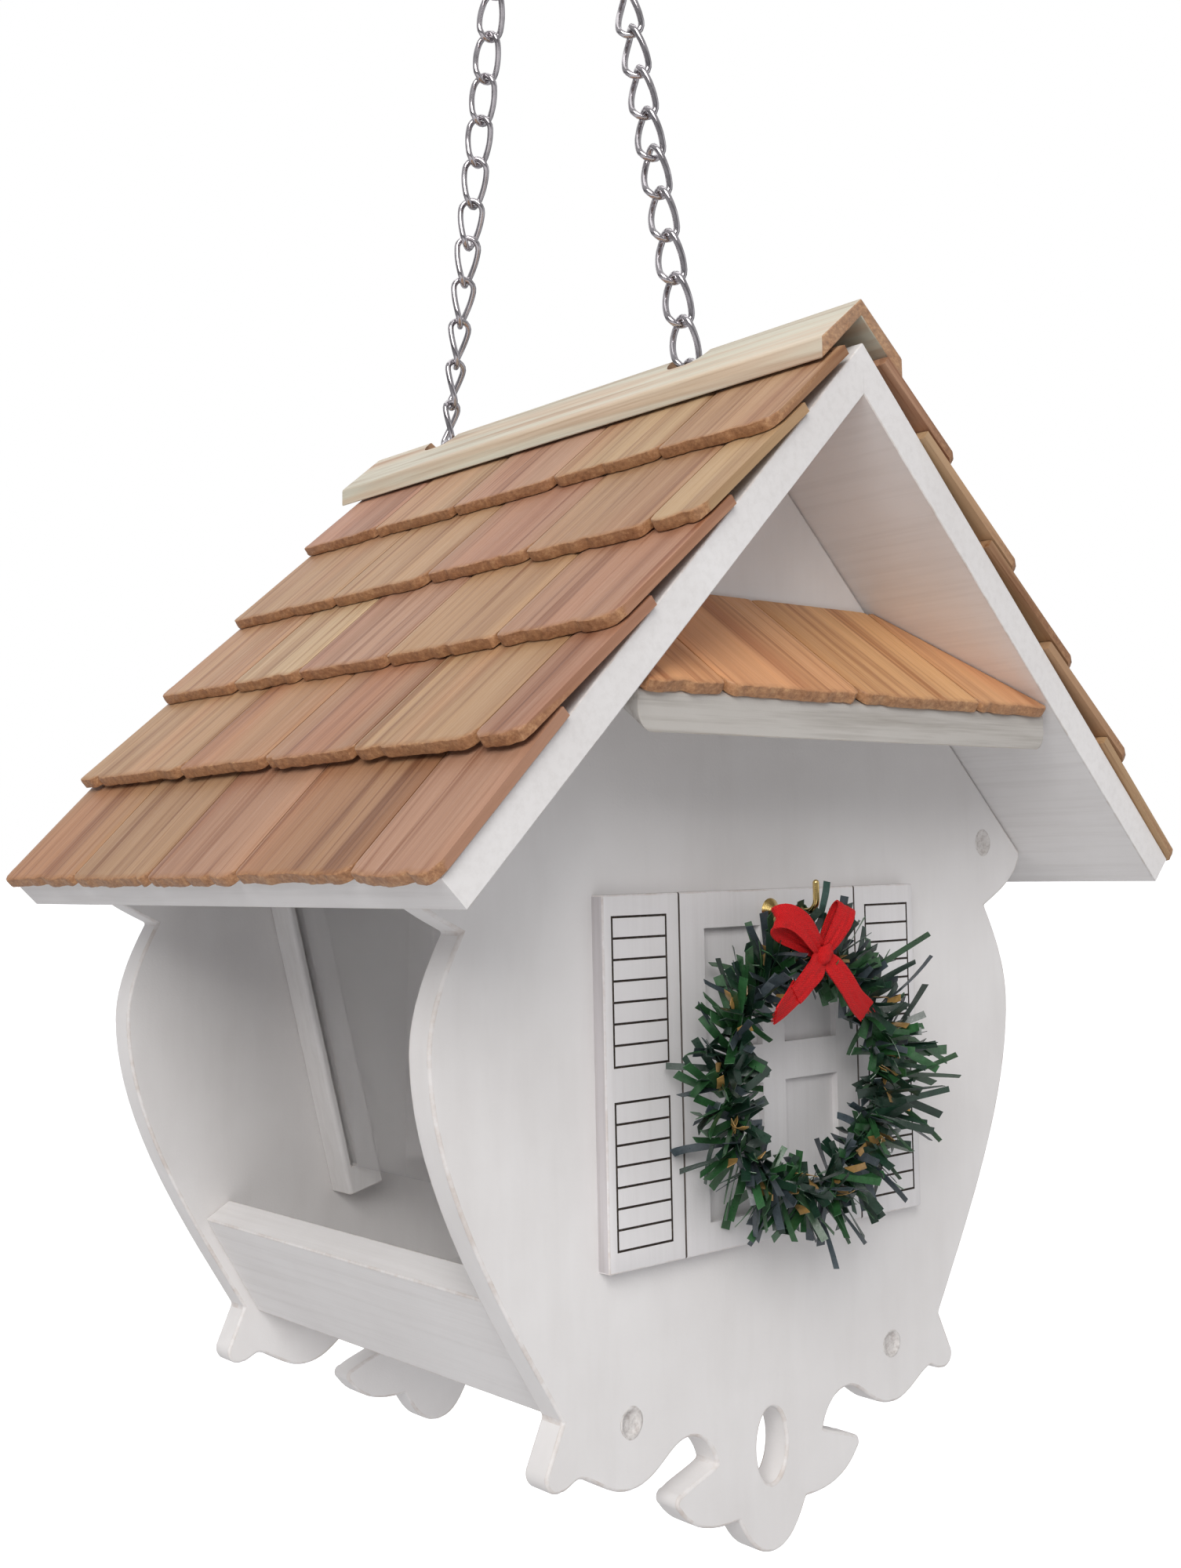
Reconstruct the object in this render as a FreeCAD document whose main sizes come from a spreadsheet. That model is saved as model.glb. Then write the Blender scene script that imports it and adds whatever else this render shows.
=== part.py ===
import FreeCAD, Part
import math
import os

Vector = FreeCAD.Vector
Rotation = FreeCAD.Rotation
Placement = FreeCAD.Placement

# A hopper bird feeder in the shape of a cottage, hung on two chains.
# House frame: X to the right, Y to the rear, Z up, with Z = 0 at the tip of the scroll drops and
# X = 0 on the plane of symmetry. The front gable faces -Y. Every piece is shifted by its Placement,
# so that the finished model has its origin where the hanging hook sits on whatever carries it.

# Driving dimensions in millimetres, and angles in degrees.
SIZES = {
    # roof
    "roof_depth": 200.0,
    "roof_half_span": 126.8,
    "ridge_rise": 295.5,
    "eave_rise": 170.0,
    "roof_board": 9.0,
    "roof_gap": 0.2,
    # front and rear gable panels
    "front_face": -61.4,
    "rear_face": 89.5,
    "panel_board": 8.0,
    "shoulder_half": 111.2,
    "waist_half": 93.6,
    "waist_rise": 157.6,
    "belly_half": 102.8,
    "belly_rise": 131.0,
    "notch_half": 67.5,
    "notch_rise": 46.5,
    "drop_hole_rise": 26.0,
    "drop_hole_half_width": 5.3,
    "drop_hole_half_height": 9.3,
    # seed tray
    "rail_board": 8.8,
    "rail_foot_half": 62.9,
    "rail_foot_rise": 44.8,
    "rail_lean": 30.2,
    "rail_height": 33.2,
    "floor_board": 9.0,
    "floor_top": 48.3,
    "top_rail_half": 93.4,
    "top_rail_rise": 175.6,
    "top_rail_width": 12.0,
    "top_rail_height": 16.0,
    # hopper
    "batten_width": 12.3,
    "batten_depth": 10.0,
    "batten_length": 130.0,
    "batten_lean": 13.2,
    "batten_foot_half": 31.5,
    "batten_foot_rise": 77.0,
    "batten_round": 1.2,
    "groove_width": 2.0,
    "groove_depth": 3.4,
    "groove_inset": 3.4,
    "groove_stop": 8.0,
    "clear_board": 1.6,
    "clear_gap": 0.2,
    # window plaque
    "plaque_half": 56.1,
    "plaque_low": 77.9,
    "plaque_high": 164.7,
    "plaque_board": 3.8,
    "pane_inner": 4.0,
    "pane_outer": 23.5,
    "pane_depth": 1.6,
    "pane_low": 85.1,
    "pane_mid_low": 116.8,
    "pane_mid_high": 126.2,
    "pane_high": 155.8,
    "shutter_line": 31.8,
    "shutter_line_width": 0.9,
    "shutter_line_depth": 0.9,
    # little roof over the window
    "awning_front": -97.4,
    "awning_front_rise": 208.7,
    "awning_rear_rise": 235.7,
    "awning_board": 9.2,
    "awning_half": 73.0,
    "awning_corner": 4.0,
    "awning_gap": 0.5,
    "awning_overhang": 1.5,
    # shingles
    "shingle_board": 3.0,
    "shingle_length": 48.0,
    "shingle_course": 34.8,
    "shingle_overhang": 3.0,
    "shingle_verge": 1.5,
    "shingle_rear_verge": 0.5,
    "shingle_joint": 0.5,
    "shingle_corner": 2.5,
    "shingle_gap": 0.12,
    "shingle_ridge_clear": 7.5,
    # ridge cap
    "cap_half": 14.6,
    "cap_peak": 306.3,
    "cap_shoulder": 294.4,
    "cap_skirt": 5.4,
    "cap_hollow": 302.0,
    "cap_rear_overhang": 6.5,
    "chain_slot_half_width": 4.9,
    "chain_slot_half_length": 7.4,
    "chain_slot_shift": 0.45,
    # chains and their fittings
    "link_pitch": 12.5,
    "link_wire": 1.8,
    "link_width": 8.2,
    "link_gap": 0.2,
    "leg_slack": 1.2,
    "upper_links": 18.0,
    "lower_links": 8.0,
    "eye_reach": 6.0,
    "eye_seat_rise": 267.6,
    "eye_radius": 3.6,
    "eye_wire": 1.8,
    "eye_shank": 6.0,
    "ring_radius": 9.0,
    "ring_wire": 2.4,
    "hook_radius": 5.5,
    "hook_wire": 2.8,
    "top_link_offset": 2.2,
    "fitting_gap": 0.2,
    # screws and their fillers
    "screw_radius": 1.6,
    "screw_length": 24.0,
    "screw_head_radius": 3.2,
    "screw_head": 2.0,
    "screw_point": 3.0,
    "screw_point_radius": 0.3,
    "filler_radius": 3.6,
    "filler_depth": 2.5,
    "filler_dish": 0.7,
    "low_screw_half": 46.9,
    "low_screw_rise": 42.0,
    # wreath and its hook
    "wreath_rise": 118.8,
    "wreath_radius": 27.0,
    "wreath_tube": 9.0,
    "wreath_gap": 1.2,
    "loop_radius": 2.6,
    "loop_wire": 1.0,
    "wreath_hook_wire": 1.6,
    "wreath_hook_bend": 3.0,
    "wreath_hook_tip": 4.0,
    "wreath_hook_flange": 3.2,
    "wreath_hook_flange_neck": 1.2,
    "wreath_hook_flange_depth": 1.6,
    "wreath_hook_clear": 1.2,
    "wreath_hook_inset": 0.5,
    "bow_board": 3.0,
    "bow_half": 16.0,
    "bow_rise": 11.5,
    "bow_tail": 20.0,
    "ribbon_width": 6.4,
}

doc = FreeCAD.newDocument("cottage_feeder")
sheet = doc.addObject("Spreadsheet::Sheet", "Sizes")
for row, (alias, number) in enumerate(SIZES.items(), 1):
    sheet.set(f"A{row}", alias)
    sheet.set(f"B{row}", str(number))
    sheet.setAlias(f"B{row}", alias)
doc.recompute()


def size(alias):
    """The number that a cell of the sheet holds."""
    return float(sheet.get(alias))


# Sizes that follow from the driving ones.
roof_slope = math.atan2(size("ridge_rise") - size("eave_rise"), size("roof_half_span"))
roof_drop = size("roof_board") / math.cos(roof_slope)
under_ridge = size("ridge_rise") - roof_drop
gable_peak = under_ridge - size("roof_gap")
inner_front = size("front_face") + size("panel_board")
inner_rear = size("rear_face") - size("panel_board")
inner_depth = inner_rear - inner_front
hang_y = (inner_front + inner_rear) / 2
front_seat = inner_front + size("eye_reach")
leg_half = hang_y - front_seat
# Along a leg, from the eye's wire to the ring's wire. Each end link's crown lies on the far side of
# the wire that it hangs on, so the leg of links is a little longer than the space between the wires.
crown = (size("link_wire") + size("link_gap")) / 2
eye_reach_back = size("eye_wire") / 2 + size("link_wire") / 2 + size("link_gap") - crown
ring_reach_over = size("ring_wire") / 2 + size("link_wire") / 2 + size("link_gap") - crown
leg_length = size("link_pitch") * (size("upper_links") + size("lower_links"))
leg_span = leg_length - eye_reach_back - ring_reach_over
leg_lean = math.asin(leg_half / leg_span)
ring_seat_rise = size("eye_seat_rise") + leg_span * math.cos(leg_lean)
ring_rise = ring_seat_rise + size("ring_radius")
hook_low_rise = (
    ring_rise
    + size("ring_radius")
    - size("ring_wire") / 2
    - size("hook_wire") / 2
    - size("fitting_gap")
    + size("hook_radius")
)
hook_high_rise = hook_low_rise + 2 * size("hook_radius")
hang_rise = hook_high_rise + size("hook_radius") - size("hook_wire") / 2
BASE = Vector(0, -hang_y, -hang_rise)

sub_parts = []


def keep(piece, label, turn=Rotation(), shift=Vector()):
    """Name a finished piece and set it in the hanging frame."""
    piece.Label = label
    piece.Placement = Placement(BASE + shift, turn) * piece.Placement
    sub_parts.append(piece)
    return piece


def slope_z(x, peak):
    """Height of a roof-parallel plane through the given peak, at distance x from the middle."""
    return peak - math.tan(roof_slope) * abs(x)


# The scroll-cut foot is drawn for a notch at this place, and stretched to the one in the sheet.
SCROLL_HALF = 67.5
SCROLL_RISE = 46.5


def half_gable():
    """Right half of the panel's outline, from the gable's peak down to the tip of the drop."""
    peak = gable_peak
    shoulder = size("shoulder_half")
    waist = size("waist_half")
    belly = size("belly_half")
    notch = size("notch_half")
    waist_z, belly_z, notch_z = size("waist_rise"), size("belly_rise"), size("notch_rise")
    shoulder_z = slope_z(shoulder, peak)
    waist_step = (waist_z - belly_z) / 3
    belly_step = (belly_z - notch_z) / 3
    swell = (belly - notch) * 0.45
    wide, high = notch / SCROLL_HALF, notch_z / SCROLL_RISE

    def p(x, z):
        return Vector(x * wide, 0, z * high)

    return [
        line(Vector(0, 0, peak), Vector(shoulder, 0, shoulder_z)),
        bezier(
            Vector(shoulder, 0, shoulder_z),
            Vector(shoulder - 1, 0, shoulder_z - 7),
            Vector(waist + 8, 0, waist_z + 4),
            Vector(waist, 0, waist_z),
        ),
        bezier(
            Vector(waist, 0, waist_z),
            Vector(waist + 3, 0, waist_z - waist_step * 0.6),
            Vector(belly, 0, belly_z + waist_step * 1.2),
            Vector(belly, 0, belly_z),
        ),
        bezier(
            Vector(belly, 0, belly_z),
            Vector(belly, 0, belly_z - belly_step),
            Vector(notch + swell, 0, notch_z + belly_step * 0.93),
            Vector(notch, 0, notch_z),
        ),
        line(p(SCROLL_HALF, SCROLL_RISE), p(72.2, 36.5)),
        arc(p(72.2, 36.5), p(71.8, 32.3), p(68.2, 31.2)),
        bezier(p(68.2, 31.2), p(66, 31), p(64.5, 33), p(62.6, 32.8)),
        bezier(p(62.6, 32.8), p(58, 31.5), p(54, 26.6), p(47.6, 26.5)),
        bezier(p(47.6, 26.5), p(38, 26.4), p(35, 34.4), p(28.6, 34.4)),
        bezier(p(28.6, 34.4), p(24.5, 34.4), p(20.5, 31), p(19.2, 26)),
        bezier(p(19.2, 26), p(22, 24.2), p(27, 23.6), p(31, 21.6)),
        arc(p(31, 21.6), p(32.9, 20.2), p(32.3, 18)),
        bezier(p(32.3, 18), p(27, 10.5), p(18.5, 10.2), p(12.2, 10.5)),
        bezier(p(12.2, 10.5), p(8.5, 3.5), p(5.5, 0.2), p(0, 0)),
    ]


def line(start, end):
    return Part.LineSegment(start, end)


def arc(start, middle, end):
    return Part.Arc(start, middle, end)


def bezier(*poles):
    curve = Part.BezierCurve()
    curve.setPoles(list(poles))
    return curve.toBSpline()


def mirrored(curves):
    """The same curves on the other side of X = 0."""
    flip = FreeCAD.Matrix(-1, 0, 0, 0, 0, 1, 0, 0, 0, 0, 1, 0, 0, 0, 0, 1)
    twins = []
    for curve in curves:
        twin = curve.copy()
        twin.transform(flip)
        twins.append(twin)
    return twins


def polygon(points):
    """Line segments round a closed outline given as (x, z) pairs."""
    corners = [Vector(x, 0, z) for x, z in points]
    return [line(a, b) for a, b in zip(corners, corners[1:] + corners[:1])]


def rectangle(x0, x1, z0, z1):
    return polygon([(x0, z0), (x1, z0), (x1, z1), (x0, z1)])


def circle(x, z, radius):
    return Part.Circle(Vector(x, 0, z), Vector(0, 1, 0), radius)


def origin_plane(body, role):
    for plane in body.Origin.OriginFeatures:
        if plane.Role == role:
            return plane


def draw(body, name, curves, depth=0.0, role="XZ_Plane"):
    """A sketch on one of the body's own planes; curves are given in the house's X and Z (or X and Y)."""
    sketch = body.newObject("Sketcher::SketchObject", name)
    sketch.AttachmentSupport = [(origin_plane(body, role), "")]
    sketch.MapMode = "FlatFace"
    if role == "XZ_Plane":
        sketch.AttachmentOffset = Placement(Vector(0, 0, -depth), Rotation())
        to_sketch = FreeCAD.Matrix(1, 0, 0, 0, 0, 0, 1, 0, 0, -1, 0, 0, 0, 0, 0, 1)
    else:
        sketch.AttachmentOffset = Placement(Vector(0, 0, depth), Rotation())
        to_sketch = FreeCAD.Matrix()
    for curve in curves:
        flat = curve.copy()
        flat.transform(to_sketch)
        sketch.addGeometry(flat, False)
    return sketch


def pad(body, sketch, thickness):
    """Pad towards +Y by a length taken from the sheet."""
    padded = body.newObject("PartDesign::Pad", "Pad")
    padded.Profile = sketch
    padded.setExpression("Length", thickness)
    padded.Reversed = True
    doc.recompute()


def pocket(body, sketch, depth=None):
    """Cut the sketch out of the body, right through if no depth is given."""
    before = body.Shape.Volume
    cut = body.newObject("PartDesign::Pocket", "Pocket")
    cut.Profile = sketch
    if depth is None:
        cut.Type = "ThroughAll"
        cut.Midplane = True
    else:
        cut.setExpression("Length", depth)
    doc.recompute()
    if body.Shape.Volume >= before - 1e-6:
        raise RuntimeError(f"{body.Name}: the pocket {sketch.Name} cuts nothing")


def new_body(name):
    return doc.addObject("PartDesign::Body", name)


def worked_piece(name, shape):
    """A piece whose shape is worked out here from the sheet's sizes."""
    piece = doc.addObject("Part::Feature", name)
    piece.Shape = shape
    return piece


# Screws: one into each top rail and two into the tray floor, at both ends of the house.
screw_spots = [
    (side * half, rise)
    for half, rise in (
        (size("top_rail_half"), size("top_rail_rise")),
        (size("low_screw_half"), size("low_screw_rise")),
    )
    for side in (-1, 1)
]


def circles(spots, radius):
    return [circle(x, z, radius) for x, z in spots]


def gable_panel(label, is_front):
    """A gable panel with its scroll-cut foot; its outer face is at local Y = 0."""
    body = new_body(label)
    half = half_gable()
    outline = draw(body, "outline", half + mirrored(half) + [drop_hole()])
    pad(body, outline, "Sizes.panel_board")
    sinks = draw(body, "filler_sinks", circles(screw_spots, size("filler_radius")))
    pocket(body, sinks, "Sizes.filler_depth + Sizes.screw_head")
    shanks = draw(body, "screw_holes", circles(screw_spots, size("screw_radius")))
    pocket(body, shanks)
    eye_circle = circle(0, size("eye_seat_rise") - size("eye_radius"), size("eye_wire") / 2)
    eye = draw(body, "eye_hole", [eye_circle], depth=size("panel_board") - size("eye_shank"))
    pocket(body, eye, "Sizes.eye_shank")
    if is_front:
        pocket(body, draw(body, "hook_hole", [wreath_hook_circle()]))
    turn = Rotation() if is_front else Rotation(Vector(0, 0, 1), 180)
    y = size("front_face") if is_front else size("rear_face")
    return keep(body, label, turn, Vector(0, y, 0))


def drop_hole():
    """The tall oval through the middle drop."""
    middle = size("drop_hole_rise")
    top = Vector(0, 0, middle + size("drop_hole_half_height"))
    right = Vector(size("drop_hole_half_width"), 0, middle)
    return Part.Ellipse(top, right, Vector(0, 0, middle))


def wreath_hook_rise():
    """Height of the wreath hook's straight shank, where the wreath's loop hangs on it."""
    top_of_wreath = size("wreath_rise") + size("wreath_radius") + size("wreath_tube")
    loop_top = top_of_wreath + size("fitting_gap") + size("loop_wire") + 2 * size("loop_radius")
    return loop_top - size("loop_wire") - size("wreath_hook_wire") / 2 - size("fitting_gap")


def wreath_hook_circle():
    return circle(0, wreath_hook_rise(), size("wreath_hook_wire") / 2)


gable_panel("front_panel", True)
gable_panel("rear_panel", False)


def rail_corners():
    """Section of the right tray rail: a board leaning outwards, its foot cut level."""
    lean = math.radians(size("rail_lean"))
    along = Vector(math.sin(lean), 0, math.cos(lean))
    inward = Vector(-math.cos(lean), 0, math.sin(lean))
    foot = Vector(size("rail_foot_half"), 0, size("rail_foot_rise"))
    outer_top = foot + along * size("rail_height")
    inner_top = outer_top + inward * size("rail_board")
    inner_foot_x = foot.x - size("rail_board") / math.cos(lean)
    return [
        (foot.x, foot.z),
        (outer_top.x, outer_top.z),
        (inner_top.x, inner_top.z),
        (inner_foot_x, foot.z),
    ]


def extruded(name, curves, length, side=1):
    """A body padded along Y from the front panel's inner face."""
    body = new_body(name)
    outline = curves if side > 0 else mirrored(curves)
    sketch = draw(body, "section", outline)
    pad(body, sketch, length)
    return body


INNER_DEPTH = "Sizes.rear_face - Sizes.front_face - 2 * Sizes.panel_board"
for side, word in ((-1, "left"), (1, "right")):
    rail = extruded(f"{word}_tray_rail", polygon(rail_corners()), INNER_DEPTH, side)
    keep(rail, f"{word}_tray_rail", shift=Vector(0, inner_front, 0))


def floor_corners():
    """Section of the tray floor, whose edges follow the rails' inner faces."""
    lean = math.tan(math.radians(size("rail_lean")))
    inner_foot = rail_corners()[3]
    top, low = size("floor_top"), size("floor_top") - size("floor_board")
    top_half = inner_foot[0] + (top - inner_foot[1]) * lean
    low_half = inner_foot[0] + (low - inner_foot[1]) * lean
    return [(-low_half, low), (low_half, low), (top_half, top), (-top_half, top)]


def bore_along_y(spots, start, end, radius):
    """Cylinders along Y between two Y values."""
    return [
        Part.makeCylinder(radius, abs(end - start), Vector(x, min(start, end), z), Vector(0, 1, 0))
        for x, z in spots
    ]


def pilot_holes(spots):
    """What the screws take out of the wood between the panels."""
    reach = size("screw_length") + size("filler_depth")
    front = bore_along_y(spots, size("front_face"), size("front_face") + reach, size("screw_radius"))
    rear = bore_along_y(spots, size("rear_face") - reach, size("rear_face"), size("screw_radius"))
    return front + rear


def bored(name, base, spots):
    """A wooden piece between the panels, cut by the screws that hold it."""
    tool = worked_piece(f"{name}_bores", Part.makeCompound(pilot_holes(spots)))
    cut = doc.addObject("Part::Cut", name)
    cut.Base = base
    cut.Tool = tool
    doc.recompute()
    return cut


floor = extruded("tray_floor_board", polygon(floor_corners()), INNER_DEPTH)
floor.Placement = Placement(Vector(0, inner_front, 0), Rotation())
keep(bored("tray_floor", floor, screw_spots[2:]), "tray_floor")

for side, word in ((-1, "left"), (1, "right")):
    board = doc.addObject("Part::Box", f"{word}_top_rail_board")
    board.setExpression("Length", "Sizes.top_rail_width")
    board.setExpression("Width", INNER_DEPTH)
    board.setExpression("Height", "Sizes.top_rail_height")
    board.Placement.Base = Vector(
        side * size("top_rail_half") - size("top_rail_width") / 2,
        inner_front,
        size("top_rail_rise") - size("top_rail_height") / 2,
    )
    spot = screw_spots[0] if side < 0 else screw_spots[1]
    keep(bored(f"{word}_top_rail", board, [spot]), f"{word}_top_rail")


def tilted(shape, side):
    """Turn a piece that stands upright at the batten's foot to the hopper's slope, on one side."""
    shape = shape.copy()
    shape.rotate(Vector(), Vector(0, 1, 0), -size("batten_lean"))
    if side > 0:
        shape = shape.mirror(Vector(), Vector(1, 0, 0))
    shape.translate(Vector(side * size("batten_foot_half"), 0, size("batten_foot_rise")))
    return shape


def groove_middle():
    """Distance of the groove's middle from the batten's middle, towards the outside."""
    return -size("batten_width") / 2 + size("groove_inset")


def hopper_batten(side, at_front):
    """A grooved batten; the groove is open at the top and stops short of the foot."""
    width, depth, length = size("batten_width"), size("batten_depth"), size("batten_length")
    bar = Part.makeBox(width, depth, length, Vector(-width / 2, 0, 0))
    long_edges = [e for e in bar.Edges if abs(e.Length - length) < 1e-6 and e.Vertexes[0].Y > 1]
    bar = bar.makeFillet(size("batten_round"), long_edges)
    corner = Vector(
        groove_middle() - size("groove_width") / 2,
        depth - size("groove_depth"),
        size("groove_stop"),
    )
    bar = bar.cut(Part.makeBox(size("groove_width"), size("groove_depth"), length, corner))
    if not at_front:
        bar = bar.mirror(Vector(), Vector(0, 1, 0))
    bar = tilted(bar, side)
    bar.translate(Vector(0, inner_front if at_front else inner_rear, 0))
    return bar


def clear_panel(side):
    """A clear sheet held in the grooves of a front and a rear batten."""
    reach = size("batten_depth") - size("groove_depth") + size("clear_gap")
    depth = inner_depth - 2 * reach
    foot = size("groove_stop") + size("clear_gap")
    corner = Vector(groove_middle() - size("clear_board") / 2, 0, foot)
    plate = Part.makeBox(size("clear_board"), depth, size("batten_length") - foot, corner)
    plate = tilted(plate, side)
    plate.translate(Vector(0, inner_front + reach, 0))
    return plate


for side, word in ((-1, "left"), (1, "right")):
    for at_front, end in ((True, "front"), (False, "rear")):
        name = f"{end}_{word}_hopper_batten"
        keep(worked_piece(name, hopper_batten(side, at_front)), name)
    keep(worked_piece(f"{word}_clear_panel", clear_panel(side)), f"{word}_clear_panel")


def window_plaque():
    """The window board: four sunk panes, and a line between the window and each shutter."""
    body = new_body("window_plaque")
    half, low, high = size("plaque_half"), size("plaque_low"), size("plaque_high")
    pad(body, draw(body, "outline", rectangle(-half, half, low, high)), "Sizes.plaque_board")
    panes = []
    for side in (-1, 1):
        left, right = sorted((side * size("pane_inner"), side * size("pane_outer")))
        panes += rectangle(left, right, size("pane_low"), size("pane_mid_low"))
        panes += rectangle(left, right, size("pane_mid_high"), size("pane_high"))
    pocket(body, draw(body, "panes", panes), "Sizes.pane_depth")
    lines = []
    for side in (-1, 1):
        middle, wide = side * size("shutter_line"), size("shutter_line_width") / 2
        lines += rectangle(middle - wide, middle + wide, low - 1, high + 1)
    pocket(body, draw(body, "shutter_lines", lines), "Sizes.shutter_line_depth")
    pocket(body, draw(body, "hook_hole", [wreath_hook_circle()]))
    y = size("front_face") - size("plaque_board")
    return keep(body, "window_plaque", shift=Vector(0, y, 0))


window_plaque()


def prism_x(points, half):
    """A solid with its section in Y and Z, reaching the same distance to both sides."""
    corners = [Vector(-half, y, z) for y, z in points]
    face = Part.Face(Part.makePolygon(corners + corners[:1]))
    return face.extrude(Vector(2 * half, 0, 0))


def gable_space():
    """The space under the roof boards, less a gap."""
    peak = under_ridge - size("awning_gap") / math.cos(roof_slope)
    reach = size("roof_half_span")
    start, low = -size("roof_depth"), slope_z(reach, peak)
    corners = [Vector(0, start, peak), Vector(reach, start, low), Vector(-reach, start, low)]
    face = Part.Face(Part.makePolygon(corners + corners[:1]))
    return face.extrude(Vector(0, 2 * size("roof_depth"), 0))


def awning_board():
    """The sloped board over the window, cut to the gable, with rounded lower corners."""
    front, rear = size("awning_front"), size("front_face")
    board = size("awning_board")
    section = [
        (front, size("awning_front_rise") - board),
        (front, size("awning_front_rise")),
        (rear, size("awning_rear_rise")),
        (rear, size("awning_rear_rise") - board),
    ]
    half = size("awning_half")
    shape = prism_x(section, half)
    middle = (size("awning_front_rise") + size("awning_rear_rise") - board) / 2
    lower_edges = [
        e
        for e in shape.Edges
        if abs(abs(e.CenterOfMass.x) - half) < 1e-6
        and abs(e.Vertexes[0].Y - e.Vertexes[1].Y) > 1
        and e.CenterOfMass.z < middle
    ]
    shape = shape.makeFillet(size("awning_corner"), lower_edges)
    return shape.common(gable_space())


def shingle(width, length, corner):
    """A flat shingle: X across, Y up the roof from the butt, Z thick; rounded corners at the butt."""
    board = size("shingle_board")
    plate = Part.makeBox(width, length, board)
    corners = [e for e in plate.Edges if abs(e.Length - board) < 1e-6 and e.CenterOfMass.y < 1e-6]
    return plate.makeFillet(min(corner, width / 3), corners)


# Joints between the awning's shingles, as shares of its half width to each side of the middle.
AWNING_JOINTS = (-0.65, -0.03, 0.59)


def awning_shingles():
    """Shingles side by side on the awning board, their upper ends at the panel."""
    front, rear = size("awning_front"), size("front_face")
    rise = size("awning_rear_rise") - size("awning_front_rise")
    pitch = math.atan2(rise, rear - front)
    overhang = size("awning_overhang")
    length = (rear - front) / math.cos(pitch) + overhang - size("fitting_gap")
    half = size("awning_half")
    edges = [-half] + [share * half for share in AWNING_JOINTS] + [half]
    solids = []
    for start, end in zip(edges, edges[1:]):
        plate = shingle(end - start - size("shingle_joint"), length, size("shingle_corner"))
        plate.translate(Vector(start + size("shingle_joint") / 2, -overhang, size("shingle_gap")))
        plate.rotate(Vector(), Vector(1, 0, 0), math.degrees(pitch))
        plate.translate(Vector(0, front, size("awning_front_rise")))
        trimmed = plate.common(gable_space())
        solids += trimmed.Solids
    return Part.makeCompound(solids)


keep(worked_piece("awning_board", awning_board()), "awning_board")
keep(worked_piece("awning_shingles", awning_shingles()), "awning_shingles")


def roof_board(word, side):
    """One roof board, mitred at the ridge and cut square at the eave."""
    half, board = size("roof_half_span"), size("roof_board")
    eave = size("eave_rise")
    corners = [
        (0, size("ridge_rise")),
        (side * half, eave),
        (side * (half - board * math.sin(roof_slope)), eave - board * math.cos(roof_slope)),
        (0, under_ridge),
    ]
    body = new_body(f"{word}_roof_board")
    pad(body, draw(body, "section", polygon(corners)), "Sizes.roof_depth")
    pocket(body, draw(body, "chain_slots", chain_slots(), size("ridge_rise"), "XY_Plane"))
    return keep(body, f"{word}_roof_board", shift=Vector(0, -size("roof_depth") / 2, 0))


def chain_slots():
    """Round-ended slots on the ridge line where the chains come through, from the roof's front edge."""
    curves = []
    radius = size("chain_slot_half_width")
    straight = size("chain_slot_half_length") - radius
    for end in (-1, 1):
        y = hang_y + end * slot_offset() + size("roof_depth") / 2
        low, high = y - straight, y + straight
        curves += [
            line(Vector(-radius, low, 0), Vector(-radius, high, 0)),
            arc(Vector(-radius, high, 0), Vector(0, high + radius, 0), Vector(radius, high, 0)),
            line(Vector(radius, high, 0), Vector(radius, low, 0)),
            arc(Vector(radius, low, 0), Vector(0, low - radius, 0), Vector(-radius, low, 0)),
        ]
    return curves


def slot_offset():
    """Distance of each slot from the hanging line, where the leg passes the ridge."""
    at_ridge = leg_half - (size("ridge_rise") - size("eye_seat_rise")) * math.tan(leg_lean)
    return at_ridge - size("chain_slot_shift")


for side, word in ((-1, "left"), (1, "right")):
    roof_board(word, side)


def ridge_cap():
    """The moulded cap over the ridge, hollowed underneath, with the chain slots through it."""
    half, peak, shoulder = size("cap_half"), size("cap_peak"), size("cap_shoulder")
    skirt = shoulder - size("cap_skirt")
    corners = [
        (0, peak),
        (half, shoulder),
        (half, skirt),
        (0, size("cap_hollow")),
        (-half, skirt),
        (-half, shoulder),
    ]
    body = new_body("ridge_cap")
    pad(body, draw(body, "section", polygon(corners)), "Sizes.roof_depth + Sizes.cap_rear_overhang")
    pocket(body, draw(body, "chain_slots", chain_slots(), peak, "XY_Plane"))
    return keep(body, "ridge_cap", shift=Vector(0, -size("roof_depth") / 2, 0))


ridge_cap()

# Joints between the shingles of each course, as shares of the roof's depth from its front edge.
COURSE_JOINTS = {
    "left": [
        (0.139, 0.371, 0.575, 0.784),
        (0.073, 0.298, 0.492, 0.701),
        (0.197, 0.411, 0.616, 0.785),
        (0.077, 0.293, 0.500, 0.722),
        (0.186, 0.391, 0.605, 0.800),
    ],
    "right": [
        (0.180, 0.400, 0.585, 0.810),
        (0.095, 0.310, 0.520, 0.690),
        (0.215, 0.395, 0.640, 0.820),
        (0.110, 0.285, 0.480, 0.735),
        (0.160, 0.370, 0.560, 0.775),
    ],
}


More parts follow.
